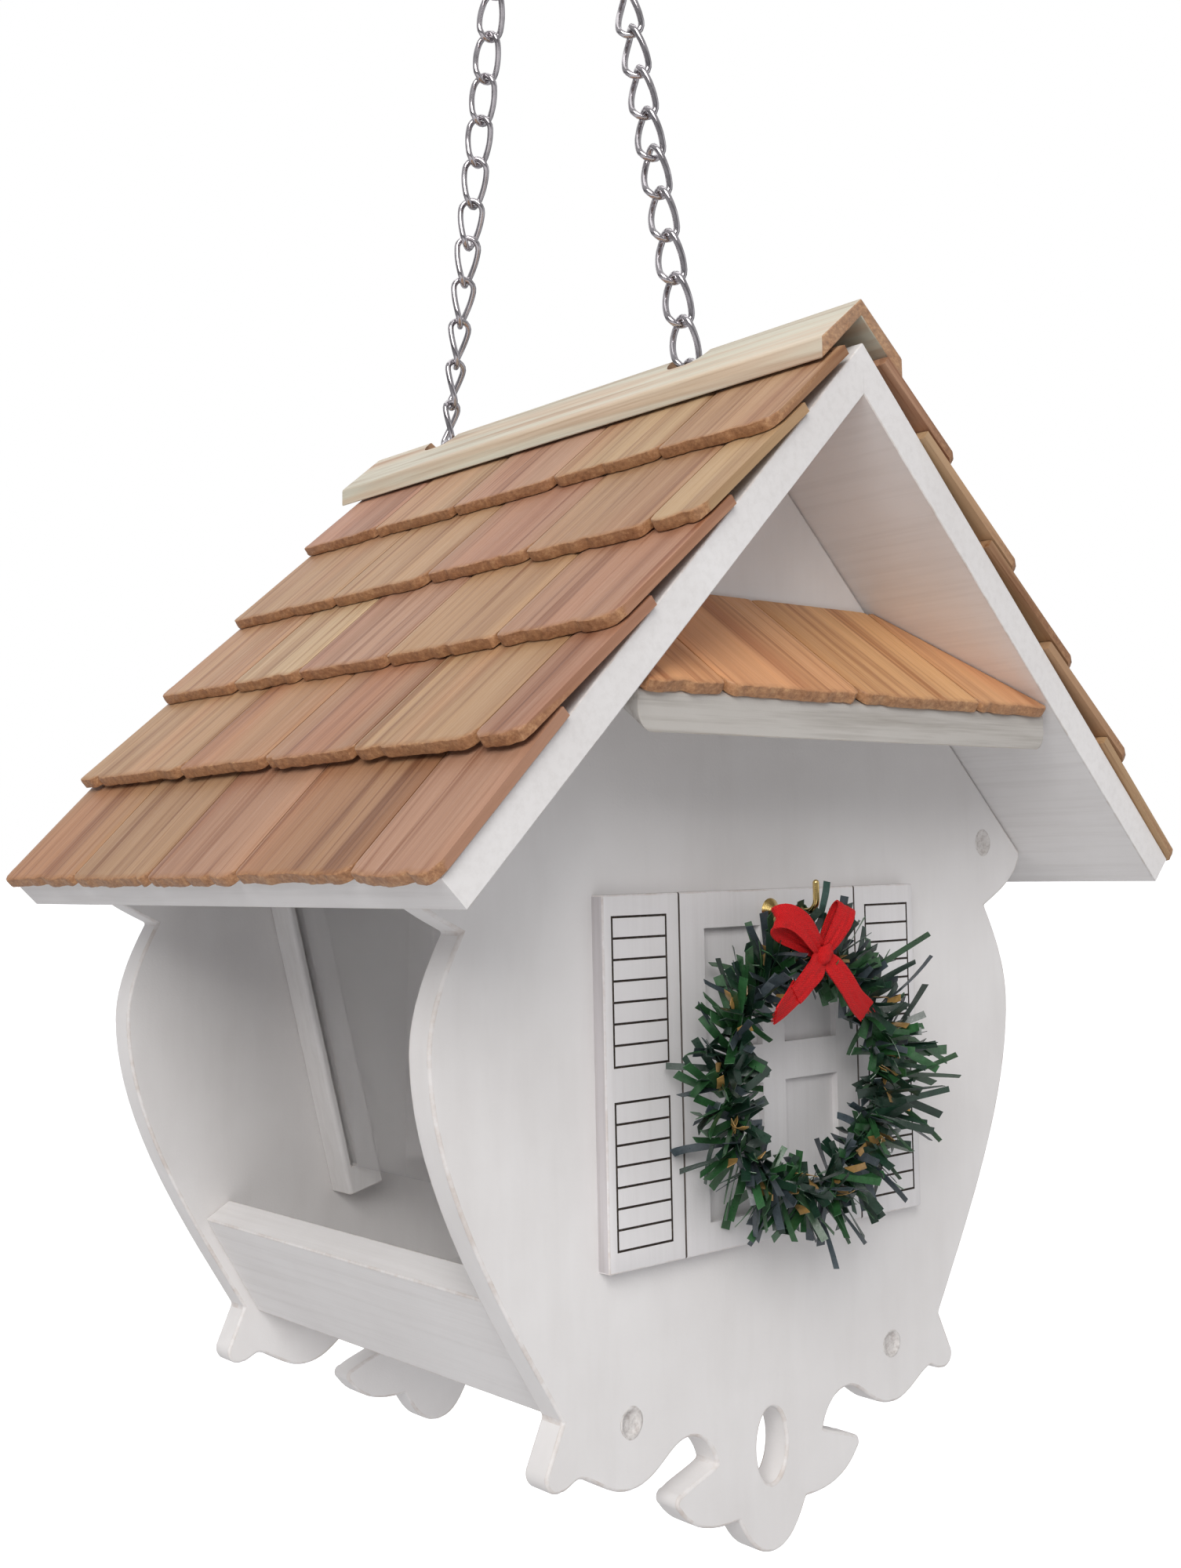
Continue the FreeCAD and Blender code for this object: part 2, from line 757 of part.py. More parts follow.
def shingle_course(joints, index, side):
    """One course of shingles on one side of the roof."""
    depth, verge = size("roof_depth"), size("shingle_verge")
    slope_length = size("roof_half_span") / math.cos(roof_slope)
    butt = slope_length + size("shingle_overhang") - index * size("shingle_course")
    length = min(size("shingle_length"), butt - size("shingle_ridge_clear"))
    # The lowest course lies flat on the board; each of the others leans on the course below it.
    step = size("shingle_board") + size("shingle_gap")
    tilt = math.asin(step / size("shingle_course")) if index else 0.0
    lift = size("shingle_length") * math.sin(tilt)
    rear_edge = depth + size("shingle_rear_verge")
    edges = [-verge] + [share * depth for share in joints] + [rear_edge]
    solids = []
    for start, end in zip(edges, edges[1:]):
        plate = shingle(end - start - size("shingle_joint"), length, size("shingle_corner"))
        plate.translate(Vector(size("shingle_joint") / 2 - end, 0, 0))
        plate.rotate(Vector(), Vector(1, 0, 0), -math.degrees(tilt))
        plate.translate(Vector(0, -butt, lift + size("shingle_gap")))
        solids.append(on_slope(plate, side))
    return Part.makeCompound(solids)


def on_slope(plate, side):
    """Lay a piece on a roof side: its X runs forwards along the ridge, its Y up the slope."""
    turn = FreeCAD.Matrix(
        0, math.cos(roof_slope), -math.sin(roof_slope), 0,
        -1, 0, 0, 0,
        0, math.sin(roof_slope), math.cos(roof_slope), 0,
        0, 0, 0, 1,
    )
    laid = plate.copy()
    laid.Placement = Placement(turn) * laid.Placement
    if side > 0:
        laid = laid.mirror(Vector(), Vector(1, 0, 0))
    laid.translate(Vector(0, -size("roof_depth") / 2, size("ridge_rise")))
    return laid


for side, word in ((-1, "left"), (1, "right")):
    for index, joints in enumerate(COURSE_JOINTS[word]):
        name = f"{word}_shingles_course_{index + 1}"
        keep(worked_piece(name, shingle_course(joints, index, side)), name)


def link():
    """One chain link: a long loop of round wire standing along Z, lying in the plane X = 0."""
    radius = (size("link_width") - size("link_wire")) / 2
    wire = size("link_wire") / 2
    straight = size("link_pitch") + size("link_wire") + size("link_gap") - 2 * radius
    top = Part.makeTorus(radius, wire, Vector(), Vector(1, 0, 0), 0, 360, 180)
    top.rotate(Vector(), Vector(1, 0, 0), top_turn(top))
    top.translate(Vector(0, 0, straight / 2))
    low = top.mirror(Vector(), Vector(0, 0, 1))
    loop = top.fuse(low)
    for side in (-1, 1):
        loop = loop.fuse(Part.makeCylinder(wire, straight, Vector(0, side * radius, -straight / 2)))
    return loop.removeSplitter()


def top_turn(half_ring):
    """The turn about X that puts a half ring's middle on the positive Z side."""
    middle = half_ring.CenterOfMass
    return 90 - math.degrees(math.atan2(middle.z, middle.y))


def chain_run(start, end, count):
    """A taut run of links between two seats; every other link is turned a quarter."""
    direction = (end - start).normalize()
    pitch = (end - start).Length / count
    lean = Rotation(Vector(0, 0, 1), direction)
    solids = []
    for number in range(count):
        quarter = Rotation(Vector(0, 0, 1), 90 * ((number + 1) % 2))
        one = link()
        one.Placement = Placement(start + direction * (pitch * (number + 0.5)), lean * quarter)
        solids.append(one)
    return Part.makeCompound(solids)


def screw_eye(end):
    """A wire eye with its shank in the panel; the chain's last link hangs on to it."""
    radius, wire = size("eye_radius"), size("eye_wire") / 2
    seat_y = hang_y + end * leg_half
    middle = Vector(0, seat_y, size("eye_seat_rise") - radius)
    ring = Part.makeTorus(radius, wire, middle, Vector(1, 0, 0))
    face = inner_front if end < 0 else inner_rear
    start = seat_y + end * radius
    tip = face + end * (size("eye_shank") - size("fitting_gap"))
    root = Vector(0, min(start, tip), middle.z)
    shank = Part.makeCylinder(wire, abs(tip - start), root, Vector(0, 1, 0))
    return ring.fuse(shank).removeSplitter()


for end, word in ((-1, "front"), (1, "rear")):
    # The two top links sit side by side on the ring, a little way up its bend.
    aside = size("top_link_offset")
    outer_side = aside + size("link_wire") / 2
    bend_rise = size("ring_radius") - math.sqrt(size("ring_radius") ** 2 - outer_side**2)
    eye_seat = Vector(0, hang_y + end * leg_half, size("eye_seat_rise"))
    ring_seat = Vector(end * aside, hang_y, ring_seat_rise + bend_rise)
    along = (ring_seat - eye_seat).normalize()
    start = eye_seat - along * eye_reach_back
    split = start + along * (size("lower_links") * size("link_pitch"))
    slack = along * (size("leg_slack") / 2)
    top = ring_seat + along * ring_reach_over
    lower = chain_run(start, split + slack, int(size("lower_links")))
    upper = chain_run(split - slack, top, int(size("upper_links")))
    keep(worked_piece(f"{word}_chain_lower", lower), f"{word}_chain_lower")
    keep(worked_piece(f"{word}_chain_upper", upper), f"{word}_chain_upper")
    keep(worked_piece(f"{word}_screw_eye", screw_eye(end)), f"{word}_screw_eye")


def hanging_hook():
    """An S-hook in the plane of the two chains: two three-quarter loops with rounded ends."""
    radius, wire = size("hook_radius"), size("hook_wire") / 2
    pieces = []
    for rise, start, end in ((hook_low_rise, 180, -1), (hook_high_rise, 0, 1)):
        loop = Part.makeTorus(radius, wire, Vector(), Vector(0, 0, 1), 0, 360, 270)
        loop.rotate(Vector(), Vector(0, 0, 1), start)
        loop.rotate(Vector(), Vector(0, 1, 0), 90)
        loop.rotate(Vector(), Vector(1, 0, 0), 90)
        loop.translate(Vector(0, hang_y, rise))
        tip = Part.makeSphere(wire, Vector(0, hang_y + end * radius, rise))
        pieces += [loop, tip]
    return pieces[0].multiFuse(pieces[1:]).removeSplitter()


keep(worked_piece("hanging_hook", hanging_hook()), "hanging_hook")
top_ring = doc.addObject("Part::Torus", "top_ring")
top_ring.setExpression("Radius1", "Sizes.ring_radius")
top_ring.setExpression("Radius2", "Sizes.ring_wire / 2")
keep(top_ring, "top_ring", Rotation(Vector(1, 0, 0), 90), Vector(0, hang_y, ring_rise))


def screw(start, into):
    """A countersunk wood screw whose head starts at a point and whose shank runs along a direction."""
    head, point = size("screw_head"), size("screw_point")
    radius = size("screw_radius") - size("clear_gap") / 4
    straight = size("screw_length") - head - point
    cone = Part.makeCone(size("screw_head_radius"), radius, head, start, into)
    shank = Part.makeCylinder(radius, straight, start + into * head, into)
    tip_start = start + into * (head + straight)
    tip = Part.makeCone(radius, size("screw_point_radius"), point - size("clear_gap"), tip_start, into)
    return cone.fuse(shank).fuse(tip).removeSplitter()


def screws():
    """The eight screws, sunk below their fillers."""
    solids = []
    for outer, inward in ((size("front_face"), 1), (size("rear_face"), -1)):
        for x, z in screw_spots:
            start = Vector(x, outer + inward * size("filler_depth"), z)
            solids.append(screw(start, Vector(0, inward, 0)))
    return Part.makeCompound(solids)


def fillers():
    """The dished plugs of filler over the screw heads."""
    solids = []
    radius = size("filler_radius")
    depth, dish = size("filler_depth"), size("filler_dish")
    bowl = (radius**2 + dish**2) / (2 * dish)
    for outer, inward in ((size("front_face"), 1), (size("rear_face"), -1)):
        for x, z in screw_spots:
            plug = Part.makeCylinder(radius, depth, Vector(x, outer, z), Vector(0, inward, 0))
            ball = Part.makeSphere(bowl, Vector(x, outer - inward * (bowl - dish), z))
            solids.append(plug.cut(ball))
    return Part.makeCompound(solids)


keep(worked_piece("panel_screws", screws()), "panel_screws")
keep(worked_piece("screw_fillers", fillers()), "screw_fillers")

# The wreath hangs by a small loop of wire on a brass hook that goes through the plaque.
plaque_face = size("front_face") - size("plaque_board")
wreath_y = plaque_face - size("wreath_gap") - size("wreath_tube")
loop_rise = (
    size("wreath_rise")
    + size("wreath_radius")
    + size("wreath_tube")
    + size("fitting_gap")
    + size("loop_wire") / 2
    + size("loop_radius")
)


def wreath_hook():
    """A straight shank with a round flange at the plaque, bent up in front of the wreath's loop."""
    wire, bend = size("wreath_hook_wire") / 2, size("wreath_hook_bend")
    z = wreath_hook_rise()
    bend_y = wreath_y - size("loop_wire") - size("wreath_hook_clear")
    rear_y = inner_front - size("wreath_hook_inset")
    shank = Part.makeCylinder(wire, rear_y - bend_y, Vector(0, bend_y, z), Vector(0, 1, 0))
    elbow = Part.makeTorus(bend, wire, Vector(), Vector(0, 0, 1), 0, 360, 90)
    elbow.rotate(Vector(), Vector(1, 0, 0), 90)
    elbow.rotate(Vector(), Vector(0, 0, 1), 90)
    elbow = elbow.copy()
    elbow.rotate(Vector(), Vector(1, 0, 0), quarter_turn(elbow))
    elbow.translate(Vector(0, bend_y, z + bend))
    post_foot = Vector(0, bend_y - bend, z + bend)
    post = Part.makeCylinder(wire, size("wreath_hook_tip"), post_foot)
    tip = Part.makeSphere(wire, post_foot + Vector(0, 0, size("wreath_hook_tip")))
    flange = Part.makeCone(
        size("wreath_hook_flange"),
        size("wreath_hook_flange_neck"),
        size("wreath_hook_flange_depth"),
        Vector(0, plaque_face, z),
        Vector(0, -1, 0),
    )
    return shank.multiFuse([elbow, post, tip, flange]).removeSplitter()


def quarter_turn(elbow):
    """The turn about X that puts a quarter ring's middle below and in front of its centre."""
    middle = elbow.CenterOfMass
    return 225 - math.degrees(math.atan2(middle.z, middle.y))


def ribbon_bow():
    """A flat bow: two loops, a knot and two tails, cut from one sheet of ribbon thickness."""
    half, rise, tail = size("bow_half"), size("bow_rise"), size("bow_tail")
    wide, board = size("ribbon_width") / 2, size("bow_board")
    knot = size("wreath_rise") + size("wreath_radius")
    y = wreath_y - size("wreath_tube") - size("fitting_gap") - board

    def bar(x0, z0, x1, z1):
        run = Vector(x1 - x0, 0, z1 - z0)
        across = Vector(-run.z, 0, run.x).normalize() * wide
        ends = [Vector(x0, y, knot + z0), Vector(x1, y, knot + z1)]
        corners = [ends[0] - across, ends[1] - across, ends[1] + across, ends[0] + across]
        outline = Part.makePolygon(corners + corners[:1])
        return Part.Face(outline).extrude(Vector(0, board, 0))

    middle = Part.makeCylinder(wide * 1.15, board, Vector(0, y, knot), Vector(0, 1, 0))
    bars = []
    for side in (-1, 1):
        bars += [bar(0, 0, side * half, rise), bar(0, 0, side * half, -tail * 0.8)]
    return middle.multiFuse(bars).removeSplitter()


keep(worked_piece("wreath_hook", wreath_hook()), "wreath_hook")
for label, radius, wire, rise in (
    ("wreath_greenery", "wreath_radius", "wreath_tube", size("wreath_rise")),
    ("wreath_loop", "loop_radius", "loop_wire / 2", loop_rise),
):
    torus = doc.addObject("Part::Torus", label)
    torus.setExpression("Radius1", f"Sizes.{radius}")
    torus.setExpression("Radius2", f"Sizes.{wire}")
    keep(torus, label, Rotation(Vector(1, 0, 0), 90), Vector(0, wreath_y, rise))
keep(worked_piece("ribbon_bow", ribbon_bow()), "ribbon_bow")

doc.recompute()
for item in doc.Objects:
    if "Invalid" in item.State or "Error" in item.State:
        raise RuntimeError(f"{item.Label}: {item.State}")
for piece in sub_parts:
    if piece.Shape.isNull() or not piece.Shape.isValid():
        raise RuntimeError(f"{piece.Label}: its shape is null or not valid")

os.makedirs("parts", exist_ok=True)
for piece in sub_parts:
    piece.Shape.exportStep(f"parts/{piece.Label}.step")
print(f"{len(sub_parts)} pieces")
print("hanging line y", round(hang_y, 3), "hook seat above the tip", round(hang_rise, 3))
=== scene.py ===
import math
import random

import bmesh
import bpy
from mathutils import Matrix, Vector, noise


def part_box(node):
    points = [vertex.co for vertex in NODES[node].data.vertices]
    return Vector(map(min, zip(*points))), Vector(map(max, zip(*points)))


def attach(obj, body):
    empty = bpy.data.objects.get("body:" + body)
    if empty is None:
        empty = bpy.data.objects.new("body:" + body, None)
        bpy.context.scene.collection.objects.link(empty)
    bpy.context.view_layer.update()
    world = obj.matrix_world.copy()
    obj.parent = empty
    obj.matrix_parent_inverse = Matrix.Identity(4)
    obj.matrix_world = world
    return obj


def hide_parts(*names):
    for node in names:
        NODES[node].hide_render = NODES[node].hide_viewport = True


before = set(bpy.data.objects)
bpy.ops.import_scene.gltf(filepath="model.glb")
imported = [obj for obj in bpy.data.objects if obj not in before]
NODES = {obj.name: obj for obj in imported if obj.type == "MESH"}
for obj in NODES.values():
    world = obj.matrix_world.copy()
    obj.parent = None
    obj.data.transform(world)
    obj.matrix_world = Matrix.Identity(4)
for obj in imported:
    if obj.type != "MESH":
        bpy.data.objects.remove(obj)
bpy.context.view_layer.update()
MM = 0.001

# House coordinates are in millimetres, with X = 0 in the middle, Y along the ridge towards the back, and
# Z = 0 at the tips of the scroll drops.
FRONT_FACE, REAR_FACE = -61.4, 89.5
RIDGE_HIGH, EAVE_HIGH, ROOF_HALF, ROOF_BOARD = 295.5, 170.0, 126.8, 9.0
HOOK_HIGH = 162
SCREWS = [(side * x, z) for x, z in ((93.4, 175.6), (46.9, 42.0)) for side in (-1, 1)]
panel_low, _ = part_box("front_panel")
HOUSE = Vector((0, panel_low.y - FRONT_FACE * MM, panel_low.z))


def at(x, y, z):
    """The place in the shared frame of a house coordinate."""
    return HOUSE + Vector((x, y, z)) * MM


# ---------------- materials


class Shader:
    """A material built node by node around one Principled shader."""

    def __init__(self, name):
        self.mat = bpy.data.materials.new(name)
        self.mat.use_nodes = True
        self.tree = self.mat.node_tree
        self.tree.nodes.clear()
        out = self.tree.nodes.new("ShaderNodeOutputMaterial")
        self.bsdf = self.tree.nodes.new("ShaderNodeBsdfPrincipled")
        self.tree.links.new(self.bsdf.outputs[0], out.inputs[0])

    def node(self, kind, inputs=None, **settings):
        made = self.tree.nodes.new("ShaderNode" + kind)
        for key, value in settings.items():
            setattr(made, key, value)
        for key, value in (inputs or {}).items():
            self.put(made.inputs[key], value)
        return made

    def put(self, socket, value):
        if isinstance(value, bpy.types.NodeSocket):
            self.tree.links.new(value, socket)
        else:
            socket.default_value = value

    def set(self, **inputs):
        for key, value in inputs.items():
            self.put(self.bsdf.inputs[key.replace("_", " ")], value)

    def coords(self, scale=(1, 1, 1), attribute=None):
        """Object coordinates, or a vector attribute, stretched by a scale."""
        if attribute:
            source = self.node("Attribute", attribute_name=attribute).outputs["Vector"]
        else:
            source = self.node("TexCoord").outputs["Object"]
        return self.node("Mapping", {"Vector": source, "Scale": scale}).outputs[0]

    def noise(self, vector, scale, detail, rough, distortion=0.0):
        inputs = {"Vector": vector, "Scale": scale, "Detail": detail, "Roughness": rough}
        return self.node("TexNoise", {**inputs, "Distortion": distortion}).outputs["Fac"]

    def value(self, attribute):
        return self.node("Attribute", attribute_name=attribute).outputs["Fac"]

    def math(self, how, a, b=0.0):
        made = self.node("Math", operation=how)
        for socket, value in zip(made.inputs, (a, b)):
            self.put(socket, value)
        return made.outputs[0]

    def span(self, value, low, high, to_low=0.0, to_high=1.0):
        """A value mapped from one range to another, and held inside it."""
        inputs = {"Value": value, "From Min": low, "From Max": high, "To Min": to_low, "To Max": to_high}
        return self.node("MapRange", inputs, clamp=True).outputs[0]

    def ramp(self, value, stops):
        made = self.node("ValToRGB", {"Fac": value})
        elements = made.color_ramp.elements
        while len(elements) < len(stops):
            elements.new(0.5)
        for element, (place, colour) in zip(elements, stops):
            element.position = place
            element.color = (*colour, 1)
        return made.outputs["Color"]

    def mix(self, share, a, b, how="MIX"):
        made = self.node("Mix", data_type="RGBA", blend_type=how)
        for index, value in ((0, share), (6, a), (7, b)):
            if isinstance(value, tuple) and len(value) == 3:
                value = (*value, 1)
            self.put(made.inputs[index], value)
        return made.outputs[2]

    def tinted(self, share, colour, tint):
        """A colour multiplied by a tint, by a share."""
        return self.mix(share, colour, self.mix(1.0, colour, tint, "MULTIPLY"))

    def bump(self, layers):
        """Bump from (height, strength, distance in metres) layers, laid over one another."""
        normal = None
        for height, strength, distance in layers:
            inputs = {"Height": height, "Strength": strength, "Distance": distance}
            if normal is not None:
                inputs["Normal"] = normal
            normal = self.node("Bump", inputs).outputs[0]
        self.put(self.bsdf.inputs["Normal"], normal)


def painted(name, streaks, streak_share, tone=(1.0, 1.0, 1.0)):
    """Warm white paint over board: faint patches, brush streaks, fine tooth, and rubbed where "edge" is 1."""
    s = Shader(name)
    patch = s.noise(s.coords(), 22, 3, 0.55)
    high = tuple(a * b for a, b in zip((0.83, 0.813, 0.805), tone))
    low = tuple(a * b for a, b in zip((0.765, 0.743, 0.732), tone))
    colour = s.ramp(patch, [(0.3, low), (0.7, high)])
    brush = s.noise(s.coords(streaks), 1.0, 4, 0.65)
    grey = s.span(brush, 0.44, 0.72, 0.0, streak_share)
    colour = s.tinted(grey, colour, (0.6, 0.57, 0.54))
    rubbed = s.noise(s.coords(), 170, 4, 0.7)
    worn = s.math("MULTIPLY", s.value("edge"), s.span(rubbed, 0.42, 0.68, 0.04, 0.5))
    colour = s.mix(worn, colour, (0.47, 0.37, 0.3))
    tooth = s.noise(s.coords(), 1500, 3, 0.6)
    s.set(Base_Color=colour, Roughness=s.span(tooth, 0.3, 0.7, 0.5, 0.68), Specular_IOR_Level=0.35)
    s.bump([(brush, 0.3, 0.00025), (tooth, 0.22, 0.00018), (patch, 0.12, 0.0006)])
    return s.mat


def mottled(name, stops, scale, detail, rough, bump, stretch=(1, 1, 1), specular=0.5):
    """A matt surface coloured and roughened by one noise."""
    s = Shader(name)
    dust = s.noise(s.coords(stretch), scale, detail, 0.7)
    s.set(Base_Color=s.ramp(dust, stops), Specular_IOR_Level=specular)
    s.set(Roughness=s.span(dust, 0.3, 0.7, *rough))
    s.bump([(dust, *bump)])
    return s.mat


def cedar(name, shades, pale=0.0):
    """Sawn cedar. "grain" holds (across, along, thick) in metres with an offset for each piece, "tone" a
    number for each piece, and "end" is 1 on end grain. Pale wood has weaker bands, and veins."""
    s = Shader(name)
    body = s.ramp(s.value("tone"), shades)
    broad = s.noise(s.coords((85, 3.2, 60), "grain"), 1.0, 3, 0.6, 0.5)
    body = s.tinted(s.span(broad, 0.5, 0.7, 0.0, 0.8), body, (1.2, 1.22, 1.2))
    body = s.tinted(s.span(broad, 0.48, 0.3, 0.0, 0.9 - 0.3 * pale), body, (0.66, 0.52, 0.42))
    rings = s.noise(s.coords((330, 6, 240), "grain"), 1.0, 4, 0.62, 0.6)
    body = s.tinted(s.span(rings, 0.52, 0.68, 0.0, 0.9 - 0.35 * pale), body, (0.54, 0.37, 0.25))
    blush = s.noise(s.coords((26, 5, 20), "grain"), 1.0, 2, 0.5)
    body = s.tinted(s.span(blush, 0.5, 0.68, 0.0, 0.5), body, (1.08, 0.84, 0.8))
    if pale:
        vein = s.noise(s.coords((130, 4.5, 130), "grain"), 1.0, 3, 0.55, 0.8)
        body = s.tinted(s.span(vein, 0.5, 0.62, 0.0, 0.6), body, (0.94, 0.7, 0.58))
    fibre = s.noise(s.coords((1500, 45, 1500), "grain"), 1.0, 3, 0.7)
    body = s.tinted(s.span(fibre, 0.35, 0.7, 0.0, 0.3), body, (0.72, 0.66, 0.6))
    ends = s.noise(s.coords((620, 900, 900), "grain"), 1.0, 5, 0.75)
    deep, middling, light = (0.2, 0.085, 0.034), (0.4, 0.195, 0.088), (0.6, 0.36, 0.18)
    end_colour = s.ramp(ends, [(0.3, deep), (0.52, middling), (0.72, light)])
    body = s.mix(s.math("MULTIPLY", s.value("end"), 0.85), body, end_colour)
    s.set(Base_Color=body, Roughness=s.span(fibre, 0.3, 0.7, 0.42, 0.62), Specular_IOR_Level=0.5)
    s.set(Sheen_Weight=0.04, Sheen_Roughness=0.4)
    s.bump([(rings, 0.3, 0.00045), (fibre, 0.32, 0.00016), (ends, 0.15, 0.0002)])
    return s.mat


def plated(name, colour, rough, scratch):
    """Plated or lacquered metal with small pits and faint stains."""
    s = Shader(name)
    stain = s.noise(s.coords(), 260, 3, 0.6)
    dark = tuple(0.66 * c for c in colour)
    body = s.ramp(stain, [(0.3, dark), (0.6, colour), (0.85, tuple(min(1, 1.12 * c) for c in colour))])
    pits = s.noise(s.coords(), 2400, 3, 0.7)
    s.set(Base_Color=body, Metallic=1.0, Roughness=s.span(pits, 0.3, 0.75, *rough))
    s.bump([(pits, scratch, 0.00004), (stain, 0.05, 0.0002)])
    return s.mat


def film():
    """Cut strips of dyed film, each with its own colour, semi-gloss with fine creases."""
    s = Shader("greenery_film")
    tint = s.node("Attribute", attribute_name="tint").outputs["Color"]
    mottle = s.noise(s.coords(), 700, 3, 0.6)
    shade = s.mix(s.span(mottle, 0.3, 0.7, 0.0, 1.0), (0.72, 0.74, 0.74), (1.2, 1.18, 1.16))
    crease = s.noise(s.coords(), 2600, 2, 0.6)
    s.set(Base_Color=s.mix(1.0, tint, shade, "MULTIPLY"), Roughness=s.span(crease, 0.3, 0.7, 0.26, 0.44))
    s.set(Specular_IOR_Level=0.6, Coat_Weight=0.25, Coat_Roughness=0.2)
    s.bump([(crease, 0.25, 0.0001), (mottle, 0.3, 0.0003)])
    return s.mat


def woven():
    """Red woven ribbon: "weave" holds (across, along) in metres."""
    s = Shader("red_ribbon_weave")
    place = s.coords((1, 1, 1), "weave")
    parts = s.node("SeparateXYZ", {"Vector": place})
    step = 0.42 * MM
    warp = s.math("SINE", s.math("MULTIPLY", parts.outputs[0], math.tau / step))
    weft = s.math("SINE", s.math("MULTIPLY", parts.outputs[1], math.tau / step))
    weave = s.math("MULTIPLY", warp, weft)
    fuzz = s.noise(place, 2600, 3, 0.7)
    shade = s.math("ADD", s.math("MULTIPLY", weave, 0.24), fuzz)
    deep, middling, light = (0.3, 0.001, 0.003), (0.6, 0.003, 0.006), (0.8, 0.02, 0.02)
    colour = s.ramp(shade, [(0.2, deep), (0.5, middling), (0.85, light)])
    s.set(Base_Color=colour, Roughness=s.span(fuzz, 0.3, 0.7, 0.55, 0.75), Specular_IOR_Level=0.3)
    s.set(Sheen_Weight=0.08, Sheen_Roughness=0.35, Sheen_Tint=(1.0, 0.3, 0.25, 1))
    s.bump([(weave, 0.6, 0.00012), (fuzz, 0.5, 0.00014)])
    return s.mat


def clear_sheet():
    """Clear acrylic with a few hairline scratches and a slight haze."""
    s = Shader("clear_sheet")
    haze = s.noise(s.coords(), 60, 3, 0.6)
    hair = s.noise(s.coords((40, 2200, 300)), 1.0, 2, 0.5)
    s.set(Base_Color=s.ramp(haze, [(0.3, (0.965, 0.975, 0.975)), (0.7, (0.99, 0.992, 0.992))]))
    s.set(Transmission_Weight=1.0, IOR=1.49, Alpha=0.35)
    gloss, scratches = s.span(haze, 0.3, 0.8, 0.015, 0.06), s.span(hair, 0.66, 0.74, 0.0, 0.08)
    s.set(Roughness=s.math("ADD", gloss, scratches))
    s.bump([(hair, 0.05, 0.00005)])
    return s.mat


CEDAR_SHADES = [
    (0.0, (0.45, 0.295, 0.155)), (0.25, (0.38, 0.202, 0.10)), (0.45, (0.42, 0.252, 0.128)),
    (0.62, (0.42, 0.232, 0.152)), (0.8, (0.33, 0.168, 0.083)), (1.0, (0.49, 0.335, 0.19)),
]
AWNING_SHADES = [(0.0, (0.58, 0.33, 0.135)), (0.5, (0.66, 0.35, 0.17)), (1.0, (0.54, 0.285, 0.11))]
CAP_SHADES = [(0.0, (0.57, 0.54, 0.44)), (1.0, (0.62, 0.58, 0.47))]
BURNT_SHADES = [(0.3, (0.028, 0.022, 0.02)), (0.62, (0.085, 0.065, 0.052)), (0.8, (0.3, 0.25, 0.22))]
# painted shade: the dark grey-brown colour of the grooves beside the window
GROOVE_SHADES = [(0.3, (0.1, 0.082, 0.074)), (0.7, (0.26, 0.225, 0.205))]
FILLER_SHADES = [(0.32, (0.47, 0.43, 0.41)), (0.5, (0.66, 0.63, 0.61)), (0.72, (0.8, 0.775, 0.755))]
MATERIALS = {
    "panel_paint": painted("panel_paint", (60, 60, 12), 0.12),
    "board_paint": painted("board_paint", (500, 16, 500), 0.16),
    "awning_paint": painted("awning_paint", (14, 420, 420), 0.85, (0.64, 0.625, 0.59)),
    "rail_paint": painted("rail_paint", (420, 10, 420), 0.16),
    "plaque_paint": painted("plaque_paint", (500, 500, 18), 0.1, (0.97, 0.97, 0.985)),
    # painted shade: the plaque's side walls take the same paint toned darker and greyer, with more grey
    # streaks
    "shaded_plaque_side": painted("plaque_side_painted_shade", (500, 500, 18), 0.4, (0.7, 0.68, 0.7)),
    "batten_paint": painted("batten_paint", (420, 420, 12), 0.18),
    "engraved": mottled("engraved_line", BURNT_SHADES, 900, 3, (0.75, 0.95), (0.4, 0.0002)),
    # the grooves' dark colour is painted shade
    "groove": mottled("shutter_groove_shade", GROOVE_SHADES, 500, 3, (0.7, 0.9), (0.3, 0.0002), (1, 1, 0.2)),
    "filler": mottled("screw_filler", FILLER_SHADES, 650, 4, (0.6, 0.85), (0.6, 0.0005), specular=0.3),
    "cedar": cedar("roof_cedar", CEDAR_SHADES),
    "awning_cedar": cedar("awning_cedar", AWNING_SHADES),
    "pale_cedar": cedar("pale_cedar", CAP_SHADES, pale=1.0),
    "nickel": plated("bright_nickel", (0.6, 0.57, 0.59), (0.06, 0.16), 0.03),
    "zinc": plated("zinc_screw", (0.55, 0.55, 0.56), (0.3, 0.5), 0.4),
    "brass": plated("polished_brass", (0.78, 0.57, 0.22), (0.14, 0.3), 0.2),
    "lacquer": plated("green_wire", (0.05, 0.1, 0.06), (0.3, 0.5), 0.3),
    "film": film(),
    "ribbon": woven(),
    "clear": clear_sheet(),
}

# ---------------- mesh helpers


def placed(name, data):
    """A new object in the scene."""
    obj = bpy.data.objects.new(name, data)
    bpy.context.scene.collection.objects.link(obj)
    return obj


def finished(name, bm, materials, body, slot, stands_for, smooth, weighted=False):
    """Turn a bmesh into a piece: its materials and body, the CAD nodes it stands for, and the angle in
    degrees up to which it is shaded smooth. The slot argument is not used."""
    mesh = bpy.data.meshes.new(name)
    bm.to_mesh(mesh)
    bm.free()
    mesh.shade_smooth()
    mesh.set_sharp_from_angle(angle=math.radians(smooth))
    obj = placed(name, mesh)
    for material in materials:
        mesh.materials.append(MATERIALS[material])
    if weighted:
        obj.modifiers.new("weighted", "WEIGHTED_NORMAL").keep_sharp = True
    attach(obj, body)
    if stands_for:
        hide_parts(*stands_for)


def built(name, bm, *settings):
    """Finish a piece made from scratch, with its faces turned outwards first."""
    bmesh.ops.recalc_face_normals(bm, faces=bm.faces)
    finished(name, bm, *settings)


